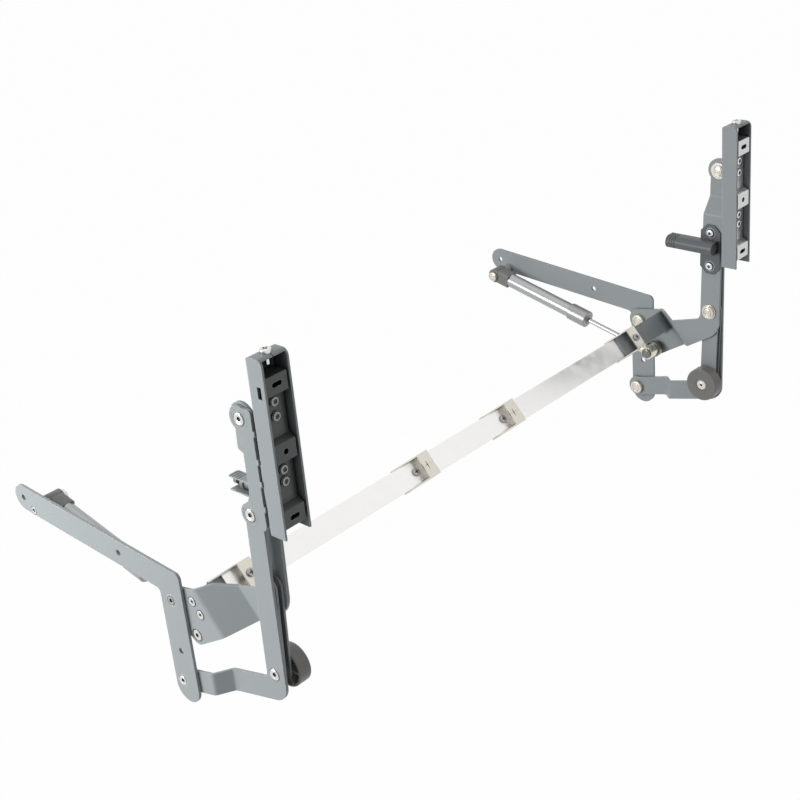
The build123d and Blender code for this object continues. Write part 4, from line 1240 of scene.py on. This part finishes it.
@dataclass
class Crossbar:
    """Two-part crossbar with its angled ends, saddle clamps and screws."""

    clamp_screw: ScrewHead = ScrewHead(0.0042, 0.0024, Drive.CROSS, 0.0006)
    clamps: tuple[int, ...] = (1, 2, 3, 4)
    line_length: float = 0.0085
    line_radius: float = 0.00035

    def build(self) -> None:
        """Dresses the bar and its clamps and adds the faces of its screws."""
        BAR_STEEL.dress("bar_left", "bar_right")
        GREY_COAT.dress("bar_bracket_left", "bar_bracket_right")
        NICKEL.dress(*(f"bar_clamp_{number}" for number in self.clamps))
        TURNED.dress("clamp_screws")
        out = broad_normal("bar_left")
        faces, dark = Shape(), Shape()
        for screw in solids("clamp_screws"):
            self.clamp_screw.add(faces, dark, screw.face(out), out)
        # A black line on each clamp's web: painted shade in its groove.
        lines = Shape()
        across = out.cross(Vector((1, 0, 0))).normalized()
        for number in self.clamps:
            web = solids(f"bar_clamp_{number}")[0].face(out)
            lines.bead(web, across, self.line_length, self.line_radius)
        lines.finish("clamp_lines", "lift", SHADE_BLACK, "nickel")
        faces.finish("clamp_screw_faces", "lift", TURNED, "nickel")
        dark.finish("clamp_screw_recesses", "lift", SHADE_BLACK, "nickel")


@dataclass
class SharedPins:
    """Nodes that hold a pin or a screw of both sides."""

    names: tuple[str, ...] = (
        "upper_pivot_pins",
        "lower_pivot_pins",
        "rear_rivets",
        "arm_screws",
        "tie_pins",
        "top_pins",
    )

    def build(self) -> None:
        """Dresses the pins and screws."""
        NICKEL.dress(*self.names)
        DARK_NICKEL.dress("front_studs")


@dataclass(frozen=True)
class Lamp:
    """Square area lamp: where it hangs, what it looks at, its side and its power in watts."""

    name: str
    place: Triple
    target: Triple
    size: float
    power: float

    def build(self) -> None:
        """Adds the lamp to the scene."""
        data = bpy.data.lights.new(self.name, "AREA")
        data.size = self.size
        data.energy = self.power
        lamp = added(self.name, data)
        lamp.visible_camera = False
        lamp.location = self.place
        aim = Vector(self.target) - Vector(self.place)
        lamp.rotation_euler = aim.to_track_quat("-Z", "Y").to_euler()


@dataclass
class Studio:
    """Camera at the photograph's view, soft lamps, white surround and a pale floor."""

    place: Triple = (-1.049574, -0.986589, 0.743790)
    azimuth: float = 45.1033
    elevation: float = 25.696
    roll: float = -5.6518
    lens: float = 66.874
    sensor: float = 36.0
    floor_size: float = 40.0
    floor_drop: float = 0.45
    floor_white: float = 0.985
    floor_paper: float = 0.50
    floor_waves: float = 3.0
    ambient: float = 0.33
    lamps: tuple[Lamp, ...] = (
        Lamp("key_lamp", (-1.15, 0.55, 0.40), (-0.35, 0.0, 0.05), 0.7, 10.5),
        Lamp("top_lamp", (0.0, 0.5, 1.6), (0.0, 0.0, 0.0), 1.2, 1.5),
    )

    def build(self) -> None:
        """Sets the camera, the lamps, the surround and the floor."""
        self.camera()
        for lamp in self.lamps:
            lamp.build()
        self.surround()
        self.floor()
        bpy.context.scene.view_settings.view_transform = "Standard"

    def camera(self) -> None:
        """Creates the camera at the photograph's place and angle."""
        data = bpy.data.cameras.new("camera")
        data.lens = self.lens
        data.sensor_width = self.sensor
        camera = added("camera", data)
        turn, tilt, roll = map(math.radians, (self.azimuth, self.elevation, self.roll))
        flat = Vector((math.sin(turn), math.cos(turn), 0))
        ahead = flat * math.cos(tilt) - Vector((0, 0, math.sin(tilt)))
        level = ahead.cross(Vector((0, 0, 1))).normalized()
        upright = level.cross(ahead)
        right = level * math.cos(roll) + upright * math.sin(roll)
        above = upright * math.cos(roll) - level * math.sin(roll)
        turned = Matrix((right, above, -ahead)).transposed().to_4x4()
        camera.matrix_world = Matrix.Translation(Vector(self.place)) @ turned
        bpy.context.scene.camera = camera

    def seen(self, graph: Graph) -> Shade:
        """Mask that is 1 for rays that show the surround: direct, mirrored or let through.

        Args:
            graph: Graph that takes the nodes.

        Returns:
            The mask.
        """
        path = graph.node("ShaderNodeLightPath", {}, {})
        direct = path.out("Is Camera Ray") + path.out("Is Glossy Ray")
        return (direct + path.out("Is Transmission Ray")).clamped()

    def surround(self) -> None:
        """Makes the world white where it is seen, and a plain soft light elsewhere."""
        world = bpy.data.worlds.new("surround")
        world.use_nodes = True
        bpy.context.scene.world = world
        graph = Graph(world.node_tree)
        strength = self.ambient + self.seen(graph) * (1.0 - self.ambient)
        values = {"Color": (1.0, 1.0, 1.0, 1.0), "Strength": strength}
        light = graph.node("ShaderNodeBackground", {}, values)
        graph.node("ShaderNodeOutputWorld", {}, {"Surface": light.out(0)})

    def floor(self) -> None:
        """Lays the pale floor under the fitting."""
        mesh = bmesh.new()
        bmesh.ops.create_grid(mesh, x_segments=4, y_segments=4, size=self.floor_size / 2)
        data = bpy.data.meshes.new("floor")
        mesh.to_mesh(data)
        mesh.free()
        floor = added("floor", data)
        floor.location.z = CAD_BOX[0].z - self.floor_drop
        made = bpy.data.materials.new("floor_paper")
        made.use_nodes = True
        graph = Graph(made.node_tree)
        paper_tone = (self.floor_paper,) * 3
        colour = graph.tinted(paper_tone, 0.01, graph.noise(self.floor_waves))
        paper = graph.node("ShaderNodeBsdfDiffuse", {}, {"Color": colour})
        bright = {"Color": (1.0, 1.0, 1.0, 1.0), "Strength": 1.0}
        white = graph.node("ShaderNodeEmission", {}, bright)
        shown = self.seen(graph) * self.floor_white
        values = {0: shown, 1: paper.out(0), 2: white.out(0)}
        mixed = graph.node("ShaderNodeMixShader", {}, values)
        graph.node("ShaderNodeOutputMaterial", {}, {"Surface": mixed.out(0)})
        data.materials.append(made)


def main() -> None:
    """Dresses the fitting piece by piece and sets the studio."""
    logging.basicConfig(level=logging.INFO, format="%(message)s")
    SharedPins().build()
    for side in Side:
        for assembly in (WallMount, UpperArm, LowerArm, DoorSide, GasSpring, Damper):
            assembly(side).build()
            LOG.info("%s %s dressed", assembly.__name__, side.word)
    Crossbar().build()
    Studio().build()


if __name__ == "__main__":
    main()
